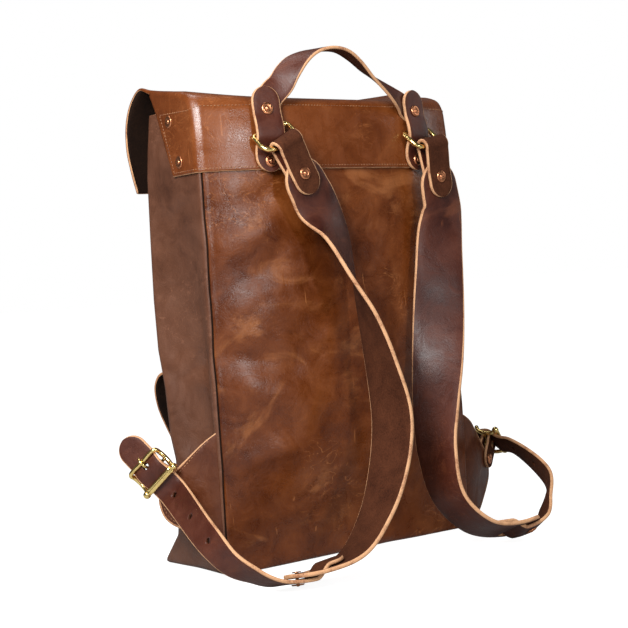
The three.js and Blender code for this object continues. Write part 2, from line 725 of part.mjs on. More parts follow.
function shoulderStrap(side, base) {
  const { tip, slot } = jointDistances(side, base);
  const widthAt = (s) => STRAP.topWidth
    + (STRAP.width - STRAP.topWidth) * smooth(10, 95, s)
    - (STRAP.width - STRAP.tipWidth) * smooth(tip - 75, tip - 5, s);
  const part = offsetTrack(base, 0, tip, () => 0, 8);
  const strip = ribbon(part, widthAt, STRAP_LEATHER, 13);
  const spot = stationAt(base, slot);
  const slotBox = new THREE.BoxGeometry(JOINT.slotWidth, JOINT.slotLength, 16);
  const opened = cut(strip, place(slotBox, spot.at, spot.across, spot.forward, spot.normal));
  const top = along(hangPoint(side), LEAVE[side], FOLD.rivetAt);
  const topHole = { at: top, out: foldOut(side), depth: 12 };
  return drilled(opened, topHole, { ...jointRivetSpot(side, base), depth: 14 });
}

// The adjusting strap, with a row of holes on its middle line.
function adjustingStrap(side, base) {
  const own = adjusterTrack(side, base);
  const seat = buckleSeat(side);
  const strip = ribbon(own, () => ADJUSTER.width, TAB_LEATHER, 6.5);
  const first = nearest(own, along(along(seat.bar, seat.forward, PRONG.hole), seat.normal, 6));
  const holes = [0, 1, 2, 3, 4].map((i) => stationAt(own, first - i * ADJUSTER.holePitch));
  const tools = holes.map((spot, i) => ({
    at: spot.at, out: spot.normal, radius: i === 0 ? ADJUSTER.holeRadius + 0.8 : ADJUSTER.holeRadius, depth: 12,
  }));
  return drilled(strip, ...tools, { ...jointRivetSpot(side, base), depth: 20 });
}

function jointRivet(side, base) {
  const { at, out } = jointRivetSpot(side, base);
  const outer = JOINT.offset + TAB_LEATHER / 2;
  return rivet(along(at, out, outer + 0.3), out, outer + STRAP_LEATHER / 2 + 1.1);
}

// ---- Wings, buckle chapes and buckles -------------------------------------------------------

const WING_THICK = 4.5;
const SEAM = { x: HALF + 3.5, y: 54 };
const WINGS = {
  1: {
    run: v(0.643, -0.766, 0),
    rivet: [44, 77.7],
    rise: [0.678, 0.735],
    outline: [[0, 133], [48, 83], [56, 72], [54, 57], [44, 48], [0, 33]],
  },
  '-1': {
    run: v(-0.883, -0.469, 0),
    rivet: [46, 63],
    rise: [0.67, 0.742],
    outline: [[0, 133], [44, 86], [55, 75], [59, 62], [55, 46], [44, 36], [24, 25], [0, 12]],
  },
};
const CHAPE_REACH = 28;          // from the wing rivet to the centre bar of the buckle
const WING_CHAPE = { thickness: 2.8, loopRadius: 2.5, legLength: 40, slotWidth: 6.5 };

function wingFrame(side) {
  const { run } = WINGS[side];
  const seam = v(side * SEAM.x, SEAM.y, 0);
  const out = unit(v(-run.y * side, run.x * side, 0));
  return { seam, run, out, point: (s, z) => along(seam, run, s).setZ(z) };
}

// The way a buckle sits in its chape. The right one lies along its chape, the left one is folded over.
const SEAT_TURN = { 1: 0, '-1': 75 };
const SEAT_LIFT = { 1: 6.75, '-1': 0 };

function buckleSeat(side) {
  const { out, point, run } = wingFrame(side);
  const { rivet: [s, z], rise: [a, b] } = WINGS[side];
  const up = unit(v(run.x * a, run.y * a, b));
  const bar = along(along(point(s, z), up, CHAPE_REACH), out, SEAT_LIFT[side]);
  const across = unit(up.clone().cross(out));
  const turn = new THREE.Quaternion().setFromAxisAngle(across, -THREE.MathUtils.degToRad(SEAT_TURN[side]));
  const forward = up.clone().applyQuaternion(turn);
  const normal = out.clone().applyQuaternion(turn);
  return { bar, up, out, across, forward, normal };
}

function wing(side) {
  const { point, run, out } = wingFrame(side);
  const shape = new THREE.Shape(WINGS[side].outline.map(([s, z]) => new THREE.Vector2(s, z)));
  const plate = new THREE.ExtrudeGeometry(shape, { depth: WING_THICK, bevelEnabled: false })
    .translate(0, 0, -WING_THICK / 2);
  const up = v(0, 0, 1);
  const placed = place(plate, point(0, 0), run, up, run.clone().cross(up));
  return drilled(placed, { at: point(...WINGS[side].rivet), out });
}

function buckleChape(side) {
  const { bar, up, out, across } = buckleSeat(side);
  const leg = WING_THICK / 2 + GAP + WING_CHAPE.thickness / 2;
  const down = up.clone().negate();
  const lift = SEAT_LIFT[side];
  const tab = foldedTab({
    bar, down, out, legLength: WING_CHAPE.legLength, outerLeg: leg - lift, innerLeg: -leg - lift,
    loopRadius: WING_CHAPE.loopRadius, width: CHAPE.width, thickness: WING_CHAPE.thickness,
  });
  const slot = place(new THREE.BoxGeometry(WING_CHAPE.slotWidth, 14, 16), along(bar, up, 1), across, up, out);
  return drilled(cut(tab, slot), { at: along(bar, up, -CHAPE_REACH), out });
}

function wingRivet(side) {
  const { out, point } = wingFrame(side);
  const half = WING_THICK / 2 + GAP + WING_CHAPE.thickness;
  return rivet(along(point(...WINGS[side].rivet), out, half), out, 2 * half);
}

// The buckle: a bowed frame with a flat rear bar that ends in two balls, and a bar across the middle.
function buckle(side) {
  const { bar, forward, normal, across } = buckleSeat(side);
  const { halfWidth, wire, centreWire, ball } = BUCKLE;
  const spot = (x, a, n) => along(along(along(bar, across, x), forward, a), normal, n);
  const arm = [[-BUCKLE.halfLength, BUCKLE.rise], [-8, 2.2], [0, 0.2], [8, 2.2], [BUCKLE.halfLength - 1.5, 4.9]];
  const points = [];
  for (const [a, n] of arm) points.push(spot(halfWidth, a, n));
  for (const x of [halfWidth - 2, 0, -halfWidth + 2]) points.push(spot(x, BUCKLE.halfLength, BUCKLE.rise));
  for (const [a, n] of [...arm].reverse()) points.push(spot(-halfWidth, a, n));
  for (const x of [-halfWidth + 4, 0, halfWidth - 4]) points.push(spot(x, -BUCKLE.halfLength, BUCKLE.rise));
  const frame = wireLoop(points, wire, 38);
  const centre = aim(new THREE.CylinderGeometry(centreWire, centreWire, 2 * halfWidth, 10).rotateX(Math.PI / 2), bar, across);
  const flatBar = new THREE.BoxGeometry(2 * halfWidth - 2, 4.6, 1.8);
  const flat = place(flatBar, spot(0, -BUCKLE.halfLength, BUCKLE.rise + 0.6), across, forward, normal);
  const balls = [1, -1].map((end) => {
    const centreOfBall = spot(end * (halfWidth + 1.2), -BUCKLE.halfLength, BUCKLE.rise);
    return new THREE.SphereGeometry(ball, 8, 6).translate(...centreOfBall.toArray());
  });
  return join(frame, centre, flat, ...balls);
}

const PRONG_LINE = [[2.6, 0.6], [4.6, 3.2], [6.6, 6.6], [9.5, 9], [13, 9.4], [17, 8.6], [19.6, 6]];

function prong(side) {
  const { bar, forward, normal, across } = buckleSeat(side);
  const stations = PRONG_LINE.map(([a, n]) => ({ at: along(along(bar, forward, a), normal, n), across }));
  const shank = squareRod(track(stations), PRONG.size);
  const eye = new THREE.TorusGeometry(PRONG.eyeRadius, PRONG.eyeWire, 6, 12);
  return join(shank, place(eye, bar, forward, normal, across));
}

// A rod of square section along a track, with flat ends.
function squareRod(ribbonTrack, size) {
  const count = 14;
  const spots = evenSpots(ribbonTrack, count);
  const [outer, inner] = [0.5, -0.5].map((layer) => spots.map((spot) => {
    const centre = along(spot.at, spot.normal, layer * size);
    return [along(centre, spot.across, size / 2), along(centre, spot.across, -size / 2)];
  }));
  return closedSheet(outer, inner);
}

// ---- Handle ---------------------------------------------------------------------------------

// The handle between the two chapes: x, y, z, and the direction across it.
const HANDLE_RUN = [
  [84.5, 81.5, 456, -0.93, 0.25, -0.2],
  [78, 87, 462, -0.7, 0.6, -0.35],
  [68, 92, 466, -0.35, 0.9, -0.3],
  [54, 95.5, 473, -0.03, 0.98, -0.19],
  [39, 97.5, 479, 0.02, 0.99, -0.12],
  [20, 97.5, 480, 0.04, 0.98, -0.15],
  [0, 96.5, 472, 0.1, 0.93, -0.34],
  [-20, 94.5, 462, 0.2, 0.8, -0.55],
  [-42, 91, 455, 0.35, 0.6, -0.72],
  [-64, 88.5, 457, 0.6, 0.42, -0.6],
  [-79, 84.5, 459, 0.85, 0.3, -0.35],
  [-85, 80.5, 456, 0.97, 0.15, -0.1],
];
const HANDLE_FOOT_Z = 447.4;

function handle() {
  const foot = (side, z, push) => onYoke(side, z, LAYER_1 + TAB_LEATHER / 2 + push);
  const stations = [
    { at: foot(1, HANDLE_FOOT_Z, 0), across: flatAcross(1).negate() },
    { at: foot(1, HANDLE_FOOT_Z + 4, 0.8), across: flatAcross(1).negate() },
    ...HANDLE_RUN.map(([x, y, z, a, b, c]) => ({ at: v(x, y, z), across: unit(v(a, b, c)) })),
    { at: foot(-1, HANDLE_FOOT_Z + 4, 0.8), across: flatAcross(-1) },
    { at: foot(-1, HANDLE_FOOT_Z, 0), across: flatAcross(-1) },
  ];
  return flatRibbon(track(stations, 500), CHAPE.width - 1, TAB_LEATHER - 0.4, 9);
}

// A strip of even width with square ends.
function flatRibbon(ribbonTrack, width, thickness, spacing) {
  const count = Math.round(ribbonTrack.length / spacing);
  const spots = evenSpots(ribbonTrack, count);
  const [outer, inner] = [0.5, -0.5].map((layer) => spots.map((spot) => {
    const centre = along(spot.at, spot.normal, layer * thickness);
    return [along(centre, spot.across, width / 2), along(centre, spot.across, -width / 2)];
  }));
  return closedSheet(outer, inner);
}

// ---- Assembly -------------------------------------------------------------------------------

const bag = new THREE.Group();
bag.name = 'backpack';

function add(name, geometry, material) {
  const mesh = new THREE.Mesh(geometry, material.clone());
  mesh.name = name;
  bag.add(mesh);
}

const studOnFront = v(0, frontFace(STUD_Z), STUD_Z);
const studOnPocket = v(0, POCKET.frontY, POCKET.studZ);

add('back_panel', drilled(backSheet(PANEL_ROWS, HALF, 0, -LEATHER), ...backHoles), BODY);
add('front_panel', drilled(frontPanel(), { at: studOnFront, out: FRONT }), BODY);
add('bottom_panel', bottomPanel(), BODY);
add('inner_pocket', innerPocket(), LINING);
add('yoke', drilled(yoke(), ...backHoles, ...tabHoles(1), ...tabHoles(-1)), BODY);
add('flap', drilled(flap(), ...CLOSURE_RIVETS), BODY);
add('closure_strap', closureStrap(), STRAPPING);
CLOSURE_RIVETS.forEach((spot, i) => add(`closure_rivet_${i + 1}`, closureRivet(spot), COPPER));
add('closure_stud', closingStud(studOnFront, FRONT, 5.9), BRASS);
add('front_pocket', frontPocket(), BODY);
add('pocket_flap', pocketFlap(), BODY);
add('pocket_stud', closingStud(studOnPocket, FRONT, 6.4), BRASS);
add('handle', handle(), STRAPPING);

for (const side of [1, -1]) {
  const name = side > 0 ? 'right' : 'left';
  const base = strapTrack(side);
  add(`gusset_${name}`, drilled(gusset(side), ...tabHoles(side)), GUSSET);
  TAB_RIVETS.forEach((spot, i) => add(`yoke_rivet_${name}_${i + 1}`, tabRivet(side, spot), COPPER));
  add(`handle_end_${name}`, handleEnd(side), STRAPPING);
  add(`upper_chape_${name}`, upperChape(side), STRAPPING);
  add(`upper_rivet_${name}`, upperRivet(side), COPPER);
  add(`lower_rivet_${name}`, lowerRivet(side), COPPER);
  add(`d_ring_${name}`, dRing(side), BRASS);
  add(`fold_chape_${name}`, foldChape(side), STRAPPING);
  add(`fold_rivet_${name}`, foldRivet(side), COPPER);
  add(`shoulder_strap_${name}`, shoulderStrap(side, base), STRAPPING);
  add(`adjusting_strap_${name}`, adjustingStrap(side, base), STRAPPING);
  add(`joint_rivet_${name}`, jointRivet(side, base), COPPER);
  add(`wing_${name}`, wing(side), BODY);
  add(`buckle_chape_${name}`, buckleChape(side), STRAPPING);
  add(`wing_rivet_${name}`, wingRivet(side), COPPER);
  add(`buckle_${name}`, buckle(side), BRASS);
  add(`prong_${name}`, prong(side), BRASS);
}

export default bag;
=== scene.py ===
import math
import bpy
import bmesh
import numpy as np
from mathutils import Matrix, Quaternion, Vector, noise


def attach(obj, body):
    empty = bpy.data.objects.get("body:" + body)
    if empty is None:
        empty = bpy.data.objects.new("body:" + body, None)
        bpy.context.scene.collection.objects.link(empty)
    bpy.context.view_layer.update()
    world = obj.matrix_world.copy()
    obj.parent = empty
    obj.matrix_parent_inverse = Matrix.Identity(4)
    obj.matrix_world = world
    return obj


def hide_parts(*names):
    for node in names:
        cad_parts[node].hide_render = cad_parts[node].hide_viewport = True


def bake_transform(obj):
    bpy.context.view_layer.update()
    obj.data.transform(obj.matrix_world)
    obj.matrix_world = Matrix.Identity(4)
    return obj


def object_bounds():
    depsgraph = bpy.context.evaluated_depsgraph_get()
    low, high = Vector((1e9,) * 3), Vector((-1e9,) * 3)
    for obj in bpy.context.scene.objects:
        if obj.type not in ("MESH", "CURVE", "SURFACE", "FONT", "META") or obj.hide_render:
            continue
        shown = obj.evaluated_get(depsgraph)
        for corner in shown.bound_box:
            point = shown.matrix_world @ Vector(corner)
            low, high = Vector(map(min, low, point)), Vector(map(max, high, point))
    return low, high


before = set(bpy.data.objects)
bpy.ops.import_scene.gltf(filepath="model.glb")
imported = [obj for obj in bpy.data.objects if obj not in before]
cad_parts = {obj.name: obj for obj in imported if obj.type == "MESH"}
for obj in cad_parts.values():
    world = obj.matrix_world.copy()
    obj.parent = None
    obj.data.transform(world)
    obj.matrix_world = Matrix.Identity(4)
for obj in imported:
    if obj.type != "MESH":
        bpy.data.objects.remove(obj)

CAD_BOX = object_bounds()
MM = 0.001

# ---- The sizes of the CAD part, in millimetres ------------------------------------------------

HALF = 150.0
BAG_TOP = 433.0
YOKE_BOTTOM = 370.0
LEATHER = 2.4
YOKE_LEATHER = 2.6
STRAP_T = 3.8
TAB_T = 3.4
CHAPE_X = 87.0
RING_Z = 407.0
LAYER_1 = 0.3 + YOKE_LEATHER + 0.3
LAYER_2 = LAYER_1 + TAB_T + 0.3
SADDLE = 11.0


def vec(x, y, z):
    return np.array([x, y, z], float)


def unit(a):
    a = np.array(a, float)
    return a / np.linalg.norm(a)


def smooth(low, high, value):
    t = np.clip((value - low) / (high - low), 0, 1)
    return t * t * (3 - 2 * t)


def perlin(x, y, z, scale, seed=0.0):
    return noise.noise(Vector((x * scale + seed, y * scale - seed, z * scale + 2 * seed)))


# ---- Curves and ribbons -----------------------------------------------------------------------


def catmull(points, t, centripetal=True, closed=False):
    points = [np.array(p, float) for p in points]
    n = len(points)
    p = (n if closed else n - 1) * t
    i = int(math.floor(p))
    w = p - i
    if not closed and i >= n - 1:
        i, w = n - 2, 1.0
    p0 = points[(i - 1) % n] if closed or i > 0 else 2 * points[0] - points[1]
    p1, p2 = points[i % n], points[(i + 1) % n]
    p3 = points[(i + 2) % n] if closed or i + 2 < n else 2 * points[n - 1] - points[n - 2]
    if centripetal:
        d = [max(1e-4, np.linalg.norm(b - a) ** 0.5) for a, b in ((p0, p1), (p1, p2), (p2, p3))]
        m1 = ((p1 - p0) / d[0] - (p2 - p0) / (d[0] + d[1]) + (p2 - p1) / d[1]) * d[1]
        m2 = ((p2 - p1) / d[1] - (p3 - p1) / (d[1] + d[2]) + (p3 - p2) / d[2]) * d[1]
    else:
        m1, m2 = 0.5 * (p2 - p0), 0.5 * (p3 - p1)
    c2 = -3 * p1 + 3 * p2 - 2 * m1 - m2
    c3 = 2 * p1 - 2 * p2 + m1 + m2
    return p1 + m1 * w + c2 * w * w + c3 * w ** 3


class Track:
    """A centre line with the direction across it, read by distance from its start."""

    def __init__(self, stations, samples=700):
        places = [s[0] for s in stations]
        sides = [s[1] for s in stations]
        at = np.array([catmull(places, i / samples) for i in range(samples + 1)])
        across = np.array([catmull(sides, i / samples, False) for i in range(samples + 1)])
        steps = np.linalg.norm(np.diff(at, axis=0), axis=1)
        self.s = np.concatenate([[0], np.cumsum(steps)])
        self.at = at
        self.side = across / np.linalg.norm(across, axis=1)[:, None]
        self.length = self.s[-1]

    def spot(self, distance):
        d = min(max(distance, 0.0), self.length)
        i = int(np.clip(np.searchsorted(self.s, d), 1, len(self.s) - 1))
        lo, hi = max(0, i - 3), min(len(self.s) - 1, i + 2)
        w = (d - self.s[i - 1]) / max(1e-9, self.s[i] - self.s[i - 1])
        at = self.at[i - 1] * (1 - w) + self.at[i] * w
        forward = unit(self.at[hi] - self.at[lo])
        side = self.side[i - 1] * (1 - w) + self.side[i] * w
        side = unit(side - forward * side.dot(forward))
        return at + forward * (distance - d), side, forward, np.cross(side, forward)

    def nearest(self, point):
        return self.s[int(np.argmin(np.linalg.norm(self.at - np.array(point), axis=1)))]


def rounded(width, from_end):
    radius = width / 2
    if from_end >= radius:
        return width
    return 2 * math.sqrt(max(0.0, radius ** 2 - (radius - from_end) ** 2))


def section(width, thick):
    """Points round the cross-section of a strap: edges slightly rounded, grain face first."""
    half, h = width / 2, thick / 2
    r = min(0.36 * thick, half * 0.9)
    top = [(-half + r + (2 * (half - r)) * k / 6, h) for k in range(7)]
    bevel = half - 0.3 * r
    right = [(bevel, h - 0.3 * r), (half, h - r), (half, 0), (half, -h + r), (bevel, -h + 0.3 * r)]
    bottom = [(-x, -y) for x, y in top]
    left = [(-x, -y) for x, y in right]
    return top + right + bottom + left


GRAIN, EDGE, FLESH = 0, 1, 2
SECTION_SLOTS = [GRAIN] * 6 + [EDGE] * 6 + [FLESH] * 6 + [EDGE] * 6


def ribbon(name, track, width_at, thick, round_start=True, round_end=True, step=3.0,
           crown=0.0, wobble=0.0, seed=0.0):
    """A strap of leather along a track; slot 0 is the grain side, 1 the cut edge, 2 the flesh side."""
    length = track.length
    r0 = width_at(0) / 2 if round_start else 0.0
    r1 = width_at(length) / 2 if round_end else 0.0
    ds = []
    if round_start:
        ds += [r0 * (1 - math.cos(a)) for a in np.linspace(0.12, math.pi / 2, 12)]
    else:
        ds += [0.0]
    count = max(2, int((length - r0 - r1) / step))
    ds += [r0 + (length - r0 - r1) * i / count for i in range(1, count)]
    if round_end:
        ds += [length - r1 * (1 - math.cos(a)) for a in np.linspace(math.pi / 2, 0.12, 12)]
    else:
        ds += [length]
    rings = []
    for d in ds:
        at, side, _, normal = track.spot(d)
        width = width_at(d)
        if round_start and d < r0:
            width = rounded(width, d)
        if round_end and length - d < r1:
            width = min(width, rounded(width, length - d))
        ring = []
        for x, y in section(max(width, 1.2), thick):
            bow = crown * (1 - (2 * x / max(width, 1e-3)) ** 2)
            if wobble:
                bow += wobble * perlin(at[0] + x, at[1], at[2], 0.035, seed)
                x += wobble * 0.5 * perlin(at[0], at[1], at[2] + 50, 0.02, seed + 3)
            ring.append(at + side * x + normal * (y + bow))
        rings.append(ring)
    n = len(rings[0])
    verts = [p for ring in rings for p in ring]
    faces, slots = [], []
    for i in range(len(rings) - 1):
        for k in range(n):
            j = (k + 1) % n
            faces.append((i * n + k, i * n + j, (i + 1) * n + j, (i + 1) * n + k))
            slots.append(SECTION_SLOTS[k])
    faces.append(tuple(range(n)))
    faces.append(tuple((len(rings) - 1) * n + k for k in reversed(range(n))))
    slots += [EDGE, EDGE]
    return make_mesh(name, verts, faces, slots)


def make_mesh(name, verts_mm, faces, slots=None, shade=True):
    mesh = bpy.data.meshes.new(name)
    mesh.from_pydata([tuple(np.array(p) * MM) for p in verts_mm], [], faces)
    bm = bmesh.new()
    bm.from_mesh(mesh)
    bmesh.ops.recalc_face_normals(bm, faces=bm.faces)
    bm.to_mesh(mesh)
    bm.free()
    if slots is not None:
        mesh.polygons.foreach_set("material_index", slots)
    if shade:
        mesh.polygons.foreach_set("use_smooth", [True] * len(mesh.polygons))
    obj = bpy.data.objects.new(name, mesh)
    bpy.context.scene.collection.objects.link(obj)
    return obj


def grid_solid(name, surface, nu, nv, thick, flip=False):
    """A sheet of leather from a function of u and v in 0..1, with its inner side one thickness in."""
    u = np.linspace(0, 1, nu + 1)
    w = np.linspace(0, 1, nv + 1)
    outer = np.array([[surface(a, b) for a in u] for b in w], float)
    du = np.gradient(outer, axis=1)
    dv = np.gradient(outer, axis=0)
    normal = np.cross(du, dv)
    normal /= np.maximum(np.linalg.norm(normal, axis=2)[:, :, None], 1e-9)
    if flip:
        normal = -normal
    inner = outer - normal * thick
    middle = (outer + inner) / 2
    push = 0.22 * thick
    rows, cols = outer.shape[:2]
    verts = list(outer.reshape(-1, 3)) + list(inner.reshape(-1, 3))
    layer = rows * cols
    faces, slots = [], []
    for r in range(rows - 1):
        for c in range(cols - 1):
            a = r * cols + c
            faces.append((a, a + 1, a + cols + 1, a + cols))
            faces.append((layer + a, layer + a + cols, layer + a + cols + 1, layer + a + 1))
            slots += [GRAIN, FLESH]
    border = [(0, c) for c in range(cols)] + [(r, cols - 1) for r in range(1, rows)]
    border += [(rows - 1, c) for c in range(cols - 2, -1, -1)] + [(r, 0) for r in range(rows - 2, 0, -1)]
    base = len(verts)
    for r, c in border:
        r2, c2 = min(max(r, 1), rows - 2), min(max(c, 1), cols - 2)
        away = middle[r, c] - middle[r2, c2]
        verts.append(middle[r, c] + push * away / max(np.linalg.norm(away), 1e-9))
    for k, (r, c) in enumerate(border):
        k2 = (k + 1) % len(border)
        r2, c2 = border[k2]
        a, b = r * cols + c, r2 * cols + c2
        faces.append((a, base + k, base + k2, b))
        faces.append((layer + a, layer + b, base + k2, base + k))
        slots += [EDGE, EDGE]
    return make_mesh(name, verts, faces, slots)


def tube(name, points, radius, closed=False, steps=80, sides=14):
    """Round wire through points; a closed loop has no ends."""
    n = steps if closed else steps + 1
    centre = np.array([catmull(points, i / steps, True, closed) for i in range(n)])
    if closed:
        tangent = np.roll(centre, -1, axis=0) - np.roll(centre, 1, axis=0)
    else:
        tangent = np.gradient(centre, axis=0)
    tangent /= np.linalg.norm(tangent, axis=1)[:, None]
    normal = unit(np.cross(tangent[0], [0.3, 0.2, 0.93]))
    frames = []
    for t in tangent:
        normal = unit(normal - t * normal.dot(t))
        frames.append((normal, np.cross(t, normal)))
    if closed:
        start, end = frames[0][0], frames[-1][0]
        turn = math.atan2(np.dot(np.cross(end, start), tangent[0]), np.dot(end, start))
        for i, (a, b) in enumerate(frames):
            c, s = math.cos(turn * i / n), math.sin(turn * i / n)
            frames[i] = (a * c + b * s, b * c - a * s)
    verts = []
    for p, (a, b) in zip(centre, frames):
        for k in range(sides):
            q = 2 * math.pi * k / sides
            verts.append(p + radius * (a * math.cos(q) + b * math.sin(q)))
    faces = []
    for i in range(n if closed else n - 1):
        j = (i + 1) % n
        for k in range(sides):
            k2 = (k + 1) % sides
            faces.append((i * sides + k, i * sides + k2, j * sides + k2, j * sides + k))
    if not closed:
        faces += [tuple(range(sides)), tuple((n - 1) * sides + k for k in reversed(range(sides)))]
    return make_mesh(name, verts, faces)


def lathe(name, profile, at, out, segments=40):
    """A turned piece: radius and height pairs from the top of its axis to the bottom."""
    out = unit(out)
    a = unit(np.cross(out, [0.31, 0.17, 0.93]))
    b = np.cross(out, a)
    verts, faces = [], []
    inner = profile[1:-1]
    verts.append(np.array(at) + out * profile[0][1])
    for r, h in inner:
        for k in range(segments):
            q = 2 * math.pi * k / segments
            verts.append(np.array(at) + out * h + r * (a * math.cos(q) + b * math.sin(q)))
    verts.append(np.array(at) + out * profile[-1][1])
    last = len(verts) - 1
    for k in range(segments):
        k2 = (k + 1) % segments
        faces.append((0, 1 + k2, 1 + k))
        for i in range(len(inner) - 1):
            p, q = 1 + i * segments, 1 + (i + 1) * segments
            faces.append((p + k, p + k2, q + k2, q + k))
        e = 1 + (len(inner) - 1) * segments
        faces.append((e + k, e + k2, last))
    return make_mesh(name, verts, faces)


def join(name, objs):
    """One object from several, keeping their material slots."""
    for o in bpy.context.selected_objects:
        o.select_set(False)
    for o in objs:
        o.select_set(True)
    bpy.context.view_layer.objects.active = objs[0]
    if len(objs) > 1:
        bpy.ops.object.join()
    objs[0].name = name
    objs[0].data.name = name
    return objs[0]


def apply_all(obj):
    deps = bpy.context.evaluated_depsgraph_get()
    mesh = bpy.data.meshes.new_from_object(obj.evaluated_get(deps))
    obj.modifiers.clear()
    old = obj.data
    obj.data = mesh
    bpy.data.meshes.remove(old)
    return obj


def boolean_cut(obj, cutters, walls=EDGE):
    """Cuts the cutters out of obj and uses them up; the cut walls take the slot given."""
    tool = join("cutter", cutters)
    tool.data.materials.clear()
    for slot in obj.data.materials:
        tool.data.materials.append(slot)
    tool.data.polygons.foreach_set("material_index", [walls] * len(tool.data.polygons))
    m = obj.modifiers.new("cut", "BOOLEAN")
    m.operation = "DIFFERENCE"
    m.solver = "EXACT"
    m.object = tool
    apply_all(obj)
    bpy.data.objects.remove(tool)
    return obj


def box_cutter(at, side, forward, normal, size):
    verts = []
    for i in (-0.5, 0.5):
        for j in (-0.5, 0.5):
            for k in (-0.5, 0.5):
                verts.append(np.array(at) + side * size[0] * i + forward * size[1] * j + normal * size[2] * k)
    faces = [(0, 1, 3, 2), (4, 6, 7, 5), (0, 4, 5, 1), (2, 3, 7, 6), (0, 2, 6, 4), (1, 5, 7, 3)]
    return make_mesh("box_cutter", verts, faces, shade=False)


def round_cutter(at, out, radius, depth=20.0):
    h = depth / 2
    return lathe("round_cutter", [(0, h), (radius, h), (radius, -h), (0, -h)], at, out, 24)


RIVET_HOLE = 1.9


def rivet_hole(obj, at, out, depth):
    return boolean_cut(obj, [round_cutter(at, out, RIVET_HOLE, depth)])


def cut_each(obj, cutters):
    """Cuts with cutters that overlap one another, one after the other."""
    for cutter in cutters:
        obj = boolean_cut(obj, [cutter])
    return obj


STITCH_SIDES, STITCH_RINGS = 6, 5


def stitches(name, points, lift, pitch=3.4, radius=0.42):
    """A row of short thread stitches along a line of points; lift is the outward direction at each."""
    points = np.array(points, float)
    lift = np.array(lift, float)
    s = np.concatenate([[0], np.cumsum(np.linalg.norm(np.diff(points, axis=0), axis=1))])
    count = int(s[-1] / pitch)
    verts, faces = [], []
    for i in range(count):
        ends = []
        for f in (0.14, 0.86):
            d = s[-1] * (i + f) / count
            p = np.array([np.interp(d, s, points[:, k]) for k in range(3)])
            q = np.array([np.interp(d, s, lift[:, k]) for k in range(3)])
            ends.append((p, unit(q)))
        (a, up), (b, _) = ends
        side = unit(np.cross(unit(b - a), up))
        base = len(verts)
        for f in np.linspace(0, 1, STITCH_RINGS):
            hump = math.sin(math.pi * f)
            centre = a * (1 - f) + b * f + up * (hump * radius * 0.9 - radius * 0.5)
            r = radius * (0.45 + 0.55 * hump)
            for k in range(STITCH_SIDES):
                q = 2 * math.pi * k / STITCH_SIDES
                verts.append(centre + side * math.cos(q) * r + up * math.sin(q) * r)
        for j in range(STITCH_RINGS - 1):
            low, high = base + j * STITCH_SIDES, base + (j + 1) * STITCH_SIDES
            for k in range(STITCH_SIDES):
                k2 = (k + 1) % STITCH_SIDES
                faces.append((low + k, low + k2, high + k2, high + k))
        last = base + (STITCH_RINGS - 1) * STITCH_SIDES
        faces.append(tuple(base + k for k in range(STITCH_SIDES)))
        faces.append(tuple(last + k for k in reversed(range(STITCH_SIDES))))
    return make_mesh(name, verts, faces)


# ---- The stuffed body -------------------------------------------------------------------------

BULGE = 24.0
BACK_Y = 56.0
FRONT_EDGE_Z = [0, 12, 30, 60, 103, 125, 173, 208, 256, 314, 372, 435]
FRONT_EDGE_Y = [-62, -49, -29, -23, -23, -31, -36, -45, -47, -45, -42, -30]


def back_face(x, z):
    """The plain outer face of the back panel, as the CAD part has it."""
    base = BACK_Y - 0.13 * max(0.0, min(z, BAG_TOP) - 400)
    return base + BULGE * smooth(0, 120, z) * (1 - min(1.0, abs(x) / HALF) ** 3)


def front_centre(z):
    if z < 180:
        return -47 - 11 * (1 - z / 180)
    return -47 + 15 * min(max((z - 400) / 32, 0), 1)


def front_face(x, z):
    edge = np.interp(z, FRONT_EDGE_Z, FRONT_EDGE_Y)
    middle = front_centre(z)
    return middle + (edge - middle) * min(1.0, abs(x) / HALF) ** 4


# Soft folds in the back panel: x and z of the two ends, width, depth.
BACK_FOLDS = [
    (150, 204, 78, 186, 15, -3.4),
    (120, 172, 60, 150, 20, 3.0),
    (148, 262, 84, 282, 13, -1.8),
    (146, 330, 96, 342, 14, -1.6),
    (140, 300, 88, 312, 13, 1.9),
    (120, 120, 90, 60, 14, -1.8),
    (60, 210, 30, 80, 22, -1.6),
    (-40, 330, -95, 120, 26, -2.2),
    (148, 96, 92, 112, 11, 1.8),
    (-148, 150, -90, 190, 18, -2.4),
    (-146, 260, -100, 240, 16, 1.7),
]
GUSSET_FOLDS = [(52, 352, -10, 330, 8, -1.8), (50, 205, -30, 176, 9, -3.0), (46, 158, -20, 190, 10, 2.2)]
GUSSET_FOLDS += [(30, 300, 20, 60, 16, -1.6), (-20, 250, -34, 120, 8, -2.2)]


def fold_depth(folds, a, b):
    total = 0.0
    for a0, b0, a1, b1, width, depth in folds:
        line = np.array([a1 - a0, b1 - b0])
        t = np.dot([a - a0, b - b0], line) / np.dot(line, line)
        t0 = min(max(t, 0.0), 1.0)
        gap = math.hypot(a - a0 - t0 * line[0], b - b0 - t0 * line[1])
        gap *= 1 + 0.35 * perlin(a, b, 0, 0.02, a0)
        total += depth * math.exp(-((gap / width) ** 2))
    return total


def back_point(x, z):
    """A point of the soft back panel, with its folds and creases; plain where the yoke covers it."""
    free = 1 - smooth(345, 372, z)
    edge = 1 - min(1.0, abs(x) / HALF) ** 6
    y = back_face(x, z)
    soft = fold_depth(BACK_FOLDS, x, z) + 2.0 * perlin(x, 0, z, 0.011, 5) + 0.9 * perlin(x, 0, z, 0.03, 9)
    crease = 0.55 * perlin(x * 0.8 + z * 0.5, 0, z, 0.07, 3)
    return vec(x, y + free * (soft * (0.25 + 0.75 * edge) + crease * edge), z)


def pinch(z):
    """How far the middle of a gusset is drawn in at a height."""
    return 15 * smooth(10, 120, z) * (1 - smooth(170, 368, z)) + 2.0 * (1 - smooth(300, 372, z))


CORNER = 5.0


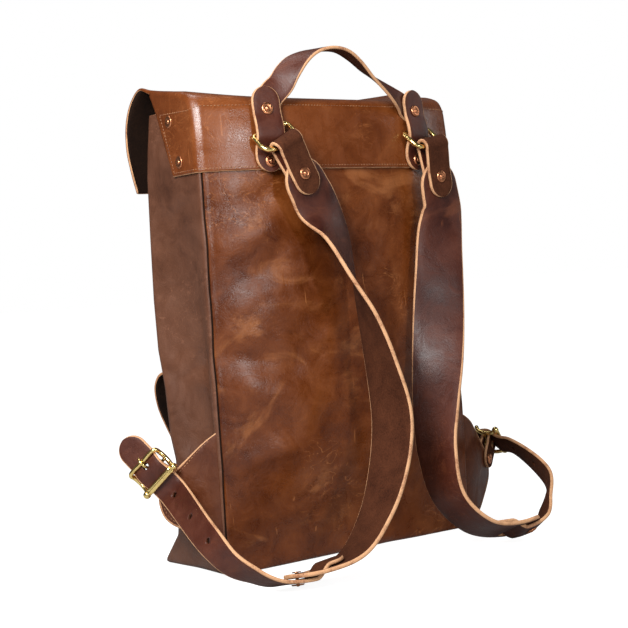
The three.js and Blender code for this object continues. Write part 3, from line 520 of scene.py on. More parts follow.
def gusset_point(side, t, z):
    """A point of a gusset: t runs from the back seam to the front edge."""
    y0 = BACK_Y - CORNER - 0.13 * max(0.0, min(z, BAG_TOP) - 400)
    y1 = front_face(HALF, z) + CORNER
    y = y0 + (y1 - y0) * t
    free = 1 - smooth(340, 368, z)
    bow = math.sin(math.pi * t) ** 1.3
    soft = fold_depth(GUSSET_FOLDS, y, z) + 1.2 * perlin(y, side * 30, z, 0.02, 2)
    return vec(side * (HALF - bow * pinch(z) + free * bow * soft), y, z)


# How far the turned seam between back and gusset draws in the corner, point by point.
SEAM_DIPS = (0.0, 0.5, 4.2, 0.9, 0.0)


CORNER_TURN = [math.radians(a) for a in (15, 32, 45, 58, 75)]


def half_ring(side, z):
    """Half of the outline at a height, from the middle of the back round to the middle of the front."""
    flat = HALF - CORNER
    back = [back_point(side * x, z) for x in np.linspace(0, flat, 46)]
    y_back = back_point(side * flat, z)[1]
    seam = []
    for dip, a in zip(SEAM_DIPS, CORNER_TURN):
        r = CORNER - dip
        seam.append(vec(side * (flat + r * math.sin(a)), y_back - CORNER + r * math.cos(a), z))
    gusset = [gusset_point(side, t, z) for t in np.linspace(0, 1, 30)]
    y_front = front_face(flat, z)
    turn = []
    for a in CORNER_TURN:
        x = side * (flat + CORNER * math.cos(a))
        turn.append(vec(x, y_front + CORNER - CORNER * math.sin(a), z))
    front = [vec(side * x, front_face(x, z), z) for x in np.linspace(flat, 0, 24)]
    return back + seam + gusset + turn + front


def body_ring(z):
    """The outline of the bag at a height, once round from the middle of the back."""
    return half_ring(1, z) + half_ring(-1, z)[::-1][1:-1]


FLOOR_SHRINK = (0.97, 0.8, 0.5, 0.2)
FLOOR_ROWS = len(FLOOR_SHRINK)
GUSSET_SIDE = 3                                  # the material slot of the gussets on the body
# The columns of the outline that belong to each gusset, from seam to front edge.
RIGHT_GUSSET, LEFT_GUSSET = (49, 84), (135, 169)
# The column along each turned seam between back and gusset gets the near-black flesh-side slot: painted shade
# in the seam's groove.
SEAM_SHADE_COLUMNS = (48, 169)


def shell(name, rings, thick, slots=(GRAIN, EDGE, FLESH)):
    """An open-topped vessel of leather from outlines at rising heights; its floor closes the first."""
    outer = np.array(rings, float)
    middle = outer[0].mean(axis=0)
    floor = [middle + (outer[0] - middle) * k for k in FLOOR_SHRINK[::-1]]
    grid = np.concatenate([np.array(floor), outer])
    du = np.roll(grid, -1, axis=1) - np.roll(grid, 1, axis=1)
    dv = np.gradient(grid, axis=0)
    normal = np.cross(du, dv)
    normal /= np.maximum(np.linalg.norm(normal, axis=2)[:, :, None], 1e-9)
    outward = grid - grid.mean(axis=1)[:, None, :]
    outward[:, :, 2] = 0
    wall = normal[len(floor) + 3:]
    if (wall * outward[len(floor) + 3:]).sum() < 0:
        normal = -normal
    inner = grid - normal * thick
    rows, cols = grid.shape[:2]
    verts = list(grid.reshape(-1, 3)) + list(inner.reshape(-1, 3))
    layer = rows * cols
    faces, kinds = [], []
    for r in range(rows - 1):
        for c in range(cols):
            a, b = r * cols + c, r * cols + (c + 1) % cols
            faces.append((a, b, b + cols, a + cols))
            faces.append((layer + a, layer + a + cols, layer + b + cols, layer + b))
            kinds += [slots[0], slots[2]]
    top = (rows - 1) * cols
    lip = len(verts)
    for c in range(cols):
        p = (verts[top + c] + verts[layer + top + c]) / 2
        verts.append(p + vec(0, 0, 0.25 * thick))
    for c in range(cols):
        d = (c + 1) % cols
        faces.append((top + c, top + d, lip + d, lip + c))
        faces.append((layer + top + c, lip + c, lip + d, layer + top + d))
        kinds += [slots[1], slots[1]]
    for base, kind in ((0, slots[0]), (layer, slots[2])):
        centre = len(verts)
        verts.append(np.array(verts[base:base + cols]).mean(axis=0))
        for c in range(cols):
            faces.append((base + c, base + (c + 1) % cols, centre))
            kinds.append(kind)
    return make_mesh(name, verts, faces, kinds)


def body_shell():
    rings = []
    for z, inset in ((0.0, 5.0), (0.5, 2.8), (2.0, 1.0)):
        ring = np.array(body_ring(2.0))
        away = ring * (1, 1, 0)
        away /= np.linalg.norm(away, axis=1)[:, None]
        ring = ring - away * inset
        ring[:, 2] = z
        rings.append(ring)
    rings += [np.array(body_ring(z)) for z in np.linspace(5, 431.6, 150)]
    obj = shell("bag_body", rings, LEATHER)
    columns = len(rings[0])
    wall = 2 * columns * (len(rings) + FLOOR_ROWS - 1)
    # The wall's faces come row by row, an outer one and then the inner one behind it.
    for i in range(0, wall, 2):
        face = obj.data.polygons[i]
        column = (i // 2) % columns
        on_gusset = any(first <= column < past for first, past in (RIGHT_GUSSET, LEFT_GUSSET))
        if i > 2 * columns * FLOOR_ROWS and on_gusset:
            face.material_index = GUSSET_SIDE
        # Painted shade: the seam's groove is coloured with the near-black flesh-side material.
        if column in SEAM_SHADE_COLUMNS:
            face.material_index = FLESH
    return obj


THIN_LEATHER = 1.6


def inner_pocket():
    def surface(u, w):
        x, z = -80 + 160 * u, 120 + 180 * w
        return vec(x, back_face(x, z) - 5.5 - 2.0 * w * math.sin(math.pi * u), z)

    return grid_solid("slip_pocket", surface, 40, 40, THIN_LEATHER, flip=True)


# ---- The front pocket and its flap ------------------------------------------------------------

POCKET_HALF, POCKET_LOW, POCKET_TOP, POCKET_Y = 143.0, 10.0, 166.0, -64.0
POCKET_CORNER, POCKET_DRAW = 16, 27              # radius of the front corners, and the sides' draw


def front_pocket():
    """An open-topped pouch drawn in at its sides, with a soft front wall and a thin wall on the bag."""
    rings = []
    for z in np.linspace(POCKET_LOW, POCKET_TOP, 60):
        low = smooth(POCKET_LOW, POCKET_LOW + 8, z)
        y0 = POCKET_Y + 4 * (1 - low)
        drawn = POCKET_DRAW * smooth(6, 30, z) * (1 - 0.2 * smooth(120, 166, z))
        x1 = POCKET_HALF - 3 * (1 - low) - drawn
        back = [vec(x, front_face(x, z) - 0.6, z) for x in np.linspace(-x1, x1, 60)]
        y_rear = back[-1][1]
        r = min(POCKET_CORNER, (y_rear - y0) * 0.8)
        right = [vec(x1, y_rear + (y0 + r - y_rear) * t, z) for t in np.linspace(0.1, 1, 8)]
        turn = [math.radians(a) for a in (12, 28, 45, 62, 78)]
        round_right = [vec(x1 - r + r * math.cos(a), y0 + r - r * math.sin(a), z) for a in turn]
        front = []
        for x in np.linspace(x1 - r, -x1 + r, 70):
            soft = 1.6 * perlin(x, 7, z, 0.016, 4) + 0.7 * perlin(x, 7, z, 0.04, 8)
            front.append(vec(x, y0 + max(0.0, 1.0 + soft), z))
        left = [vec(-p[0], p[1], p[2]) for p in right + round_right][::-1]
        rings.append(np.array(back + right + round_right + front + left))
    middle = rings[0].mean(axis=0)
    low_ring = middle + (rings[0] - middle) * 0.985
    low_ring[:, 2] = POCKET_LOW - 0.4
    return shell("pocket_pouch", [low_ring] + rings, THIN_LEATHER)


POCKET_FLAP = [
    (-47.9, 186.0, 138), (-56, 185.6, 139), (-63.5, 181.5, 140.5), (-69, 171, 141.5),
    (-71, 150, 138), (-69.5, 113, 124),
]


FRONTWARD = (0, -1, 0)
STUD_HOLE = 4.8


def pocket_flap():
    """The cover of the front pocket, with a slot for its stud."""
    def surface(u, w):
        y, z, half = catmull(POCKET_FLAP, w)
        x = (2 * u - 1) * half
        soft = 0.8 * perlin(x, y, z, 0.018, 6) * smooth(0.3, 0.8, w)
        return vec(x, y - soft, z)

    flap = grid_solid("pocket_cover", surface, 90, 44, LEATHER, flip=True)
    return cut_each(flap, [round_cutter(vec(0, -69, 140 - d), FRONTWARD, STUD_HOLE) for d in (0, 4, 8)])


# ---- The hide: yoke, top and flap in one piece ------------------------------------------------

YOKE_HALF = 153.0
# From the back edge round: y, z, share of the bulge, share of the saddle, half width, corner radius.
HIDE_ROWS = [
    (58.9, 370, 1, 0, 153, 8), (58.9, 386, 1, 0, 153, 8), (58.9, 402, 1, 0, 153, 8),
    (57.4, 418, 1, 0.02, 153, 8), (55.2, 430, 0.97, 0.06, 153, 8), (50, 436, 0.85, 0.3, 153, 8),
    (36.5, 439, 0.55, 0.6, 153, 7), (15, 440.8, 0.25, 0.8, 153, 6), (-5, 442.3, 0.05, 0.95, 153, 5),
    (-20.3, 444.4, 0, 1, 153, 3), (-33, 445.6, 0, 1.1, 156, 1.2), (-45.5, 438.5, 0, 0.75, 159, 1.2),
    (-55, 424.3, 0, 0.4, 160.5, 1.2), (-60, 403.3, 0, 0.1, 159.5, 1.2), (-62.3, 382, 0, 0, 155, 1.2),
    (-64.3, 361, 0, 0, 149, 1.2),
]
BACK_ROWS, CREST_ROW = 4, 9
MAIN_U = 0.30                                    # how far out in u the main part reaches, from the middle


def hide_row(w):
    return catmull(HIDE_ROWS, w)


def hide_frame(w):
    """The profile point, its outward normal in y and z, and the row's other values."""
    step = 0.004
    row = hide_row(w)
    a, b = hide_row(max(0.0, w - step)), hide_row(min(1.0, w + step))
    dy, dz = b[0] - a[0], b[1] - a[1]
    size = math.hypot(dy, dz)
    return row, (dz / size, -dy / size)


def tab_front(w):
    """The front edge of a side tab: straight up the gusset, then on to where the flap starts."""
    rows = len(HIDE_ROWS) - 1
    z = hide_row(w)[1]
    if w * rows <= BACK_ROWS:
        t = (z - YOKE_BOTTOM) / (BAG_TOP - YOKE_BOTTOM)
        return vec(0, 14 - 24 * t, z)
    t = (w * rows - BACK_ROWS) / (CREST_ROW - BACK_ROWS)
    start, end = vec(0, -9.5, 431.5), vec(0, -20.3, 452.4)
    return start + (end - start) * min(t, 1.0)


def hide_point(u, w):
    """The outer face of the hide: u runs from one tab's front edge to the other's, w from back to flap."""
    row, (ny, nz) = hide_frame(w)
    y, z, bulge, saddle, half, radius = row
    side = 1 if u >= 0.5 else -1
    reach = abs(u - 0.5) * 2
    main = 2 * MAIN_U
    corner = main + 0.10
    flat = half - radius

    def at(x, drop):
        share = min(1.0, x / HALF)
        yy = y + bulge * BULGE * (1 - share ** 3) - ny * drop
        zz = z + SADDLE * saddle * (x / HALF) ** 2 - nz * drop
        return vec(side * x, yy, zz)

    if reach <= main:
        x = flat * reach / main
        soft = 1.3 * perlin(side * x, y, z, 0.013, 11) * smooth(0.28, 0.45, w)
        flare = 2.5 * smooth(0.62, 0.85, w) * smooth(100, 150, x)
        return at(x, 0) + vec(0, ny, nz) * (soft + flare * 0.2)
    if reach <= corner:
        a = (reach - main) / (corner - main) * math.pi / 2
        return at(flat + radius * math.sin(a), radius * (1 - math.cos(a)))
    edge = at(half, radius)
    t = (reach - corner) / (1 - corner)
    lip = edge - vec(0, ny, nz) * 0.7
    front = tab_front(w)
    front[0] = side * YOKE_HALF
    rows = len(HIDE_ROWS) - 1
    closing = smooth(CREST_ROW - 0.8, CREST_ROW + 0.15, w * rows)
    front = front * (1 - closing) + lip * closing
    return edge + (front - edge) * t


def hide():
    return grid_solid("yoke_and_flap", hide_point, 210, 150, YOKE_LEATHER, flip=True)


# ---- Rivets, studs, wire ----------------------------------------------------------------------


def rivet(name, surface, out, grip):
    """A washer with the hammered end of the rivet in it, a shaft, and a burr at the other side."""
    profile = [
        (0, 2.15), (0.7, 2.1), (1.35, 1.85), (1.75, 1.3), (1.95, 1.02),
        (2.3, 0.98), (2.7, 1.2), (3.6, 1.42), (4.7, 1.32), (5.4, 0.98), (5.75, 0.55), (5.8, 0.15),
        (1.6, 0.12), (1.6, -grip - 0.15),
        (4.2, -grip - 0.15), (4.1, -grip - 0.9), (3.2, -grip - 1.2), (0, -grip - 1.25),
    ]
    return lathe(name, profile, surface, out)


def stud(name, surface, out, neck):
    ball = 4.25
    angles = np.linspace(0, math.pi * 0.84, 14)
    profile = [(ball * math.sin(a), neck + ball + ball * math.cos(a)) for a in angles]
    profile += [(2, neck - 0.2), (2, 1.6), (4.6, 1.45), (5.7, 1.1), (6, 0.3), (1.6, 0.2)]
    profile += [(1.6, -LEATHER - 0.2), (4.2, -LEATHER - 0.2), (4.1, -LEATHER - 1.2), (0, -LEATHER - 1.3)]
    return lathe(name, profile, surface, out)


# ---- The front closure ------------------------------------------------------------------------

# The run of the closure strap down the front: y and z.
CLOSURE = [
    (-59.4, 421), (-63.6, 403), (-65.9, 382), (-67.9, 361), (-63, 340), (-55, 322),
    (-52.2, 308), (-52.2, 295), (-52.2, 287), (-52.2, 283),
]
CLOSURE_THICK, CLOSURE_W = 3.0, 38.0
CLOSURE_RIVET_X, CLOSURE_RIVET_Z, FLAP_LEAN = (9, -9), 392, (0, -1, 0.09)
STUD_Z, POCKET_STUD_Z = 303.0, 140.0


def closure_strap():
    stations = [(vec(0, y + CLOSURE_THICK / 2, z), vec(-1, 0, 0)) for y, z in CLOSURE]
    strap = ribbon("front_strap", Track(stations), lambda s: CLOSURE_W, CLOSURE_THICK, step=3)
    slot = [round_cutter(vec(0, -52, STUD_Z - d), FRONTWARD, STUD_HOLE) for d in (0, 3.5, 7)]
    strap = cut_each(strap, slot)
    for x in CLOSURE_RIVET_X:
        strap = rivet_hole(strap, vec(x, -64.6, CLOSURE_RIVET_Z), FLAP_LEAN, 12)
    return strap


# ---- Chapes, handle ends and rings ------------------------------------------------------------

SIDE_SLOPE = 0.164
CHAPE_W = 25.4
WIDE_CHAPE_W = 28.6


def yoke_out(side):
    return unit((SIDE_SLOPE * side, 1, 0))


def flat_across(side):
    return unit((1, -SIDE_SLOPE * side, 0))


def on_yoke(side, z, offset):
    return vec(side * CHAPE_X, back_face(CHAPE_X, z), z) + yoke_out(side) * offset


LOWER_RIVET_Z = 377


def upper_rivet_axis(side):
    return on_yoke(side, 425, LAYER_2 + TAB_T + 0.15), unit((SIDE_SLOPE * side, 1, 0.13))


def upper_chape(side, name):
    high, low = LAYER_2 + TAB_T / 2, LAYER_1 + TAB_T / 2
    line = [
        (446, high - 0.4), (438, high), (430, high), (420, high), (RING_Z + 7, high + 1.2),
        (RING_Z - 2, high + 2), (RING_Z - 9, high + 1.3), (RING_Z - 16, low + 1.6), (RING_Z - 22, low),
        (376, low), (367, low),
    ]
    stations = [(on_yoke(side, z, offset), flat_across(side)) for z, offset in line]
    strip = ribbon(name, Track(stations), lambda s: WIDE_CHAPE_W, TAB_T, step=1.6)
    strip = rivet_hole(strip, *upper_rivet_axis(side), 30)
    return rivet_hole(strip, on_yoke(side, LOWER_RIVET_Z, low), yoke_out(side), 30)


RING_SIDES = {1: (-1.5, 20.0, -3.0), -1: (-1.0, 8.0, -3.0)}      # shift along the bar, lean, loop place
RING_WIRE, RING_BOW_WIRE, RING_HALF, RING_DEPTH = 2.0, 2.35, 18.0, 23.0


def rotate(v, axis, degrees):
    turn = Quaternion(Vector(axis), math.radians(degrees))
    return np.array(turn @ Vector(v))


def ring_frame(side):
    shift, lean, _ = RING_SIDES[side]
    out = yoke_out(side)
    bar = rotate(flat_across(side), out, lean)
    down = rotate((0, 0, -1), out, lean)
    middle = on_yoke(side, RING_Z - 2, LAYER_1 + RING_WIRE + 0.6) + bar * shift
    drop = vec(0, 1, 0) + down * 0.97
    return middle, bar, unit(drop - bar * drop.dot(bar))


def d_ring(side, name):
    middle, bar, drop = ring_frame(side)
    corner, wide = 9.0, RING_HALF + 0.8
    half = [(12, 0), (RING_HALF, 1.2), (wide, RING_DEPTH * 0.4)]
    for degrees in (0, 45, 90):
        a = math.radians(degrees)
        half.append((wide - corner + corner * math.cos(a), RING_DEPTH - corner + corner * math.sin(a)))
    loop = [(0, 0)] + half + [(0, RING_DEPTH)] + [(-x, f) for x, f in half[::-1]]
    return tube(name, [middle + bar * x + drop * f for x, f in loop], RING_BOW_WIRE, closed=True,
                steps=140, sides=18)


def hang_point(side):
    middle, bar, drop = ring_frame(side)
    return middle + drop * RING_DEPTH + bar * RING_SIDES[side][2]


LEAVE = {1: unit((-15.5, -1, -28)), -1: unit((-5.0, -2, -28))}
FOLD_LOOP, FOLD_LEG, FOLD_RIVET, STRAP_START = 5.2, 52.0, 31.5, 17.0


def fold_out(side):
    down = LEAVE[side]
    return unit(vec(0, 1, 0) - down * down[1])


def folded_tab(name, bar, down, out, leg_length, outer, inner, loop_radius, width, thick):
    """A strip folded over a bar with both legs on one side of it."""
    across = unit(np.cross(down, out))
    loop = loop_radius + thick / 2

    def spot(a, n):
        return (bar + down * a + out * n, across)

    straight = [leg_length, leg_length * 0.72, leg_length * 0.45]
    neck = loop * 1.5
    stations = [spot(a, outer) for a in straight]
    stations.append(spot(neck, outer + (loop - outer) * 0.5))
    for degrees in (62, 90, 135, 180, 225, 270, 298):
        a = math.radians(degrees)
        stations.append(spot(loop * math.cos(a), loop * math.sin(a)))
    stations.append(spot(neck, inner - (loop + inner) * 0.5))
    stations += [spot(a, inner) for a in straight[::-1]]
    return ribbon(name, Track(stations), lambda s: width, thick, step=1.6)


def fold_chape(side, name):
    leg = STRAP_T / 2 + 0.3 + TAB_T / 2
    bar, down, out = hang_point(side), LEAVE[side], fold_out(side)
    tab = folded_tab(name, bar, down, out, FOLD_LEG, leg, -leg, FOLD_LOOP, WIDE_CHAPE_W, TAB_T)
    return rivet_hole(tab, bar + down * FOLD_RIVET, out, 40)


# ---- Shoulder straps --------------------------------------------------------------------------

# The run of each strap below its ring: x, y, z, and the direction across it.
STRAP_RUNS = {
    1: [
        (37, 102, 311, 0.92, 0.4, -0.07), (29, 114, 267, 0.67, 0.74, 0.06), (21, 125, 224, 0.32, 0.94, 0.16),
        (16, 134, 179, 0.05, 0.98, 0.18), (15, 142, 134, -0.16, 0.98, 0.15), (29, 150, 91, -0.12, 0.99, 0.12),
        (52, 156, 52, 0, 0.99, 0.14), (84, 160, 22, 0.1, 0.98, 0.17), (117, 158, 13, 0.15, 0.97, 0.18),
        (150, 152, 12, 0.2, 0.96, 0.22), (174, 145, 16, 0.19, 0.87, 0.45), (191, 131, 27, 0.04, 0.72, 0.69),
        (198, 107, 46, -0.27, 0.53, 0.8),
    ],
    -1: [
        (-101, 92, 298, 0.97, -0.2, 0.12), (-93, 97, 262, 0.93, -0.35, 0.11),
        (-85, 101, 220, 0.81, -0.58, 0.1), (-72, 110, 177, 0.61, -0.79, 0),
        (-55, 123, 136, 0.37, -0.92, -0.15), (-42, 136, 94, 0.11, -0.96, -0.25),
        (-43, 148, 52, -0.07, -0.96, -0.25), (-68, 158, 23, -0.07, -0.96, -0.28),
        (-105, 163, 15, -0.03, -0.9, -0.42), (-140, 162, 19, -0.02, -0.81, -0.59),
        (-176, 144, 38, -0.09, -0.55, -0.83), (-205, 112, 51, -0.3, -0.25, -0.92),
    ],
}
# The strap through its buckle: distance past the middle bar, height over it.
BUCKLE_RUN = [
    (-26, 2.4), (-13, 2.2), (-7, 4.8), (0, 6.8), (7, 4.8), (13, 1.6), (21, 1.0), (30, 0.8), (40, 0.4),
]
SEAM_X, SEAM_Y = HALF + 3.5, 54.0
WING_THICK, CHAPE_REACH, CHAPE_LEG, TAB_W, BUCKLE_TAB_T = 4.5, 21.0, 30.5, 23.0, 2.8
# Where a wing runs, its rivet, how its chape rises, the buckle's turn and lift, and its outline.
WINGS = {
    1: dict(run=(0.643, -0.766, 0), rivet=(43.7, 85.6), rise=(0.678, 0.735), turn=0, lift=6.75,
            outline=[(0, 133), (52, 89), (58, 74), (54, 57), (44, 48), (0, 33)]),
    -1: dict(run=(-0.883, -0.469, 0), rivet=(50.5, 62.5), rise=(0.67, 0.742), turn=75, lift=0.0,
             outline=[(0, 118), (40, 80), (53, 69), (57, 57), (57, 44), (48, 33), (24, 14), (0, 3)]),
}


def wing_frame(side):
    run = np.array(WINGS[side]["run"], float)
    out = unit((-run[1] * side, run[0] * side, 0))
    seam = vec(side * SEAM_X, SEAM_Y, 0)
    return seam, run, out


WING_ROOT = 14.0                                 # how far out a wing starts to bend into the seam


def wing_point(side, s, z):
    """A point on the middle layer of a wing; near the seam it bends in between back and gusset."""
    seam, run, _ = wing_frame(side)
    root = 1 - min(max(s / WING_ROOT, 0.0), 1.0)
    return seam + run * s + vec(-6.5 * side, -2.5, 0) * root ** 2 + vec(0, 0, z)


def buckle_seat(side):
    """The middle bar of a buckle, and the directions up its chape, out, across, forward and off its face."""
    data = WINGS[side]
    _, run, out = wing_frame(side)
    a, b = data["rise"]
    up = unit((run[0] * a, run[1] * a, b))
    bar = wing_point(side, *data["rivet"]) + up * CHAPE_REACH + out * data["lift"]
    across = unit(np.cross(up, out))
    forward = rotate(up, across, -data["turn"])
    normal = rotate(out, across, -data["turn"])
    return bar, up, out, across, forward, normal


def strap_track(side):
    down, bar = LEAVE[side], hang_point(side)
    across = unit(np.cross(down, fold_out(side)))
    stations = [(bar + down * d, across) for d in (STRAP_START, 34, 52, 62)]
    stations += [(vec(x, y, z), unit((a, b, c))) for x, y, z, a, b, c in STRAP_RUNS[side]]
    seat, _, _, seat_across, forward, normal = buckle_seat(side)
    stations += [(seat + forward * a + normal * n, seat_across) for a, n in BUCKLE_RUN]
    return Track(stations, 1800)


def offset_track(base, start, end, offset_at, step=3.4):
    count = math.ceil((end - start) / step)
    stations = []
    for i in range(count + 1):
        d = start + (end - start) * i / count
        at, side, _, normal = base.spot(d)
        stations.append((at + normal * offset_at(d), side))
    return Track(stations, 1500)


JOINT_POINT = {1: (152, 151, 12), -1: (-137, 163, 18)}
SLOT_BACK, SLOT_LENGTH, SLOT_WIDTH = 31.0, 15.0, 31.5
JOINT_LEAD, JOINT_OFFSET, JOINT_RIVET = 27.0, 4.8, 11.0
STRAP_W, STRAP_TOP_W, STRAP_TIP_W, ADJUSTER_W = 50.8, 44.0, 40.0, 29.0
HOLE_PITCH, USED_HOLE, FREE_HOLE = 40, 3.2, 2.6


def joint_axis(side, base):
    """The rivet that joins the wide strap and the narrow one: its place and its direction."""
    at, _, _, normal = base.spot(base.nearest(JOINT_POINT[side]) - JOINT_RIVET)
    return at, normal


def shoulder_strap(side, base, name):
    tip = base.nearest(JOINT_POINT[side])

    def width(s):
        wide = STRAP_TOP_W + (STRAP_W - STRAP_TOP_W) * smooth(0, 75, s)
        return wide - (STRAP_W - STRAP_TIP_W) * smooth(tip - 75, tip - 5, s)

    strip = ribbon(name, offset_track(base, 0, tip, lambda s: 0.0, 8), width, STRAP_T, step=3.2,
                   crown=0.35, wobble=0.35, seed=side)
    at, across, forward, normal = base.spot(tip - SLOT_BACK)
    cutter = box_cutter(at, across, forward, normal, (SLOT_WIDTH, SLOT_LENGTH, 16))
    strip = boolean_cut(strip, [cutter])
    strip = rivet_hole(strip, hang_point(side) + LEAVE[side] * FOLD_RIVET, fold_out(side), 12)
    return rivet_hole(strip, *joint_axis(side, base), 14)


def adjuster_track(side, base):
    tip = base.nearest(JOINT_POINT[side])
    slot = tip - SLOT_BACK

    def offset(s):
        return (2 * JOINT_OFFSET * smooth(slot - 7.5, slot + 7.5, s) - JOINT_OFFSET
                - JOINT_OFFSET * smooth(tip + 4, tip + 34, s))

    return offset_track(base, slot - JOINT_LEAD, base.length, offset)


def adjusting_strap(side, base, name):
    own = adjuster_track(side, base)
    bar, _, _, _, forward, normal = buckle_seat(side)
    strip = ribbon(name, own, lambda s: ADJUSTER_W, TAB_T, step=2.4, crown=0.1)
    first = own.nearest(bar + forward * 6.5 + normal * 6)
    for i in range(4):
        at, _, _, n = own.spot(first - HOLE_PITCH * i)
        strip = boolean_cut(strip, [round_cutter(at, n, USED_HOLE if i == 0 else FREE_HOLE, 12)], FLESH)
    return rivet_hole(strip, *joint_axis(side, base), 20)


# ---- Wings, buckle chapes and buckles ---------------------------------------------------------


def rounded_outline(points, radius=5.0, steps=5):
    """A closed outline with its corners rounded; the two ends at the seam stay sharp."""
    out = []
    n = len(points)
    pts = [np.array(p, float) for p in points]
    for i, p in enumerate(pts):
        if i in (0, n - 1):
            out.append(p)
            continue
        a, b = pts[i - 1], pts[(i + 1) % n]
        ra = min(radius, np.linalg.norm(a - p) * 0.45)
        rb = min(radius, np.linalg.norm(b - p) * 0.45)
        pa = p + (a - p) / np.linalg.norm(a - p) * ra
        pb = p + (b - p) / np.linalg.norm(b - p) * rb
        for k in range(steps + 1):
            t = k / steps
            out.append((1 - t) ** 2 * pa + 2 * t * (1 - t) * p + t * t * pb)
    return out


def wing(side, name):
    """Two layers of leather glued and stitched: rounded light edges with a dark line between them."""
    out = wing_frame(side)[2]
    outline = rounded_outline(WINGS[side]["outline"], 9)
    dense = []
    for i, p in enumerate(outline):
        q = outline[(i + 1) % len(outline)]
        count = max(1, int(np.linalg.norm(q - p) / 5))
        dense += [p + (q - p) * k / count for k in range(count)]
    dense = np.array(dense)
    middle = dense.mean(axis=0)
    away = dense - middle
    away /= np.linalg.norm(away, axis=1)[:, None]
    half = WING_THICK / 2
    # Distance in from the edge and distance off the middle plane, from the middle of one face round.
    rim = [(60, half), (14, half), (2.0, half), (0.5, half - 0.35), (0, half - 0.9)]
    rim += [(0.2, 0.45), (0.75, 0.12)]
    rim += [(inset, -off) for inset, off in rim[::-1]]
    verts, faces, slots = [], [], []
    n = len(dense)
    reach = np.linalg.norm(dense - middle, axis=1)
    for inset, off in rim:
        for k in range(n):
            p = dense[k] - away[k] * min(inset, reach[k] * 0.9)
            verts.append(wing_point(side, p[0], p[1]) + out * off)
    for r in range(len(rim) - 1):
        slot = GRAIN if r < 2 or r > 10 else EDGE
        for k in range(n):
            j = (k + 1) % n
            faces.append((r * n + k, r * n + j, (r + 1) * n + j, (r + 1) * n + k))
            slots.append(GRAIN if max(dense[k][0], dense[j][0]) < 3 else slot)
    for r in (0, len(rim) - 1):
        centre = len(verts)
        verts.append(np.mean(verts[r * n:(r + 1) * n], axis=0))
        for k in range(n):
            faces.append((r * n + k, r * n + (k + 1) % n, centre))
            slots.append(GRAIN)
    obj = make_mesh(name, verts, faces, slots)
    obj = rivet_hole(obj, wing_point(side, *WINGS[side]["rivet"]), out, 20)
    line = [p - away[i] * 4.5 for i, p in enumerate(dense) if p[0] > 3]
    pts = [wing_point(side, p[0], p[1]) for p in line]
    rows = []
    for sign in (1, -1):
        rows.append(stitches("stitch", [p + out * sign * half for p in pts], [out * sign] * len(pts)))
    return obj, join(name + "_stitching", rows)


def buckle_chape(side, name):
    bar, up, out, across, _, _ = buckle_seat(side)
    thick, lift = BUCKLE_TAB_T, WINGS[side]["lift"]
    leg = WING_THICK / 2 + 0.3 + thick / 2
    tab = folded_tab(name, bar, -up, out, CHAPE_LEG, leg - lift, -leg - lift, 2.5, TAB_W, thick)
    tab = boolean_cut(tab, [box_cutter(bar + up, across, up, out, (6.5, 14, 16))])
    return rivet_hole(tab, bar - up * CHAPE_REACH, out, 40)


FRAME_RISE, BAR_HALF, BUCKLE_HALF = 6.0, 12.0, 17.3


def buckle(side, name):
    """A cast brass frame: two bowed arms, a flat rear bar that ends in balls, and a middle bar."""
    bar, _, _, across, forward, normal = buckle_seat(side)

    def spot(x, a, n):
        return bar + across * x + forward * a + normal * n

    arm = [(-BAR_HALF, FRAME_RISE), (-8, 2.2), (0, 0.2), (8, 2.2), (BAR_HALF - 1.5, 4.9)]
    points = [spot(BUCKLE_HALF, a, n) for a, n in arm]
    points += [spot(x, BAR_HALF, FRAME_RISE) for x in (BUCKLE_HALF - 2, 0, -BUCKLE_HALF + 2)]
    points += [spot(-BUCKLE_HALF, a, n) for a, n in arm[::-1]]
    points += [spot(x, -BAR_HALF, FRAME_RISE) for x in (-BUCKLE_HALF + 4, 0, BUCKLE_HALF - 4)]
    frame_wire = tube("wire", points, 2.15, closed=True, steps=150, sides=16)
    middle = tube("bar", [spot(-BUCKLE_HALF, 0, 0), spot(0, 0, 0), spot(BUCKLE_HALF, 0, 0)], 1.5, steps=12)
    flat_points = [spot(x, -BAR_HALF, FRAME_RISE + 0.6) for x in (-BUCKLE_HALF + 1, 0, BUCKLE_HALF - 1)]
    flat = ribbon("flat", Track([(p, forward) for p in flat_points], 60), lambda s: 6.2, 2.8,
                  round_start=False, round_end=False, step=4)
    balls = []
    for end in (1, -1):
        profile = [(3.6 * math.sin(a), 3.6 * math.cos(a)) for a in np.linspace(0, math.pi, 15)]
        place = spot(end * (BUCKLE_HALF + 1.2), -BAR_HALF, FRAME_RISE)
        balls.append(lathe("ball", profile, place, across, 24))
    return join(name, [frame_wire, middle, flat] + balls)


PRONG_LINE = [(2.6, 0.6), (4.2, 3.2), (5.8, 6.6), (7.8, 8.9), (10.6, 9.5), (14.0, 8.9), (16.4, 6.6)]


def prong(side, name):
    bar, _, _, _, forward, normal = buckle_seat(side)
    shank = tube("shank", [bar + forward * a + normal * n for a, n in PRONG_LINE], 1.35, steps=40, sides=16)
    eye_points = []
    for a in np.linspace(0, 2 * math.pi, 13)[:-1]:
        eye_points.append(bar + forward * 2.85 * math.cos(a) + normal * 2.85 * math.sin(a))
    eye = tube("eye", eye_points, 1.05, closed=True, steps=48, sides=12)
    return join(name, [shank, eye])


# ---- Handle -----------------------------------------------------------------------------------

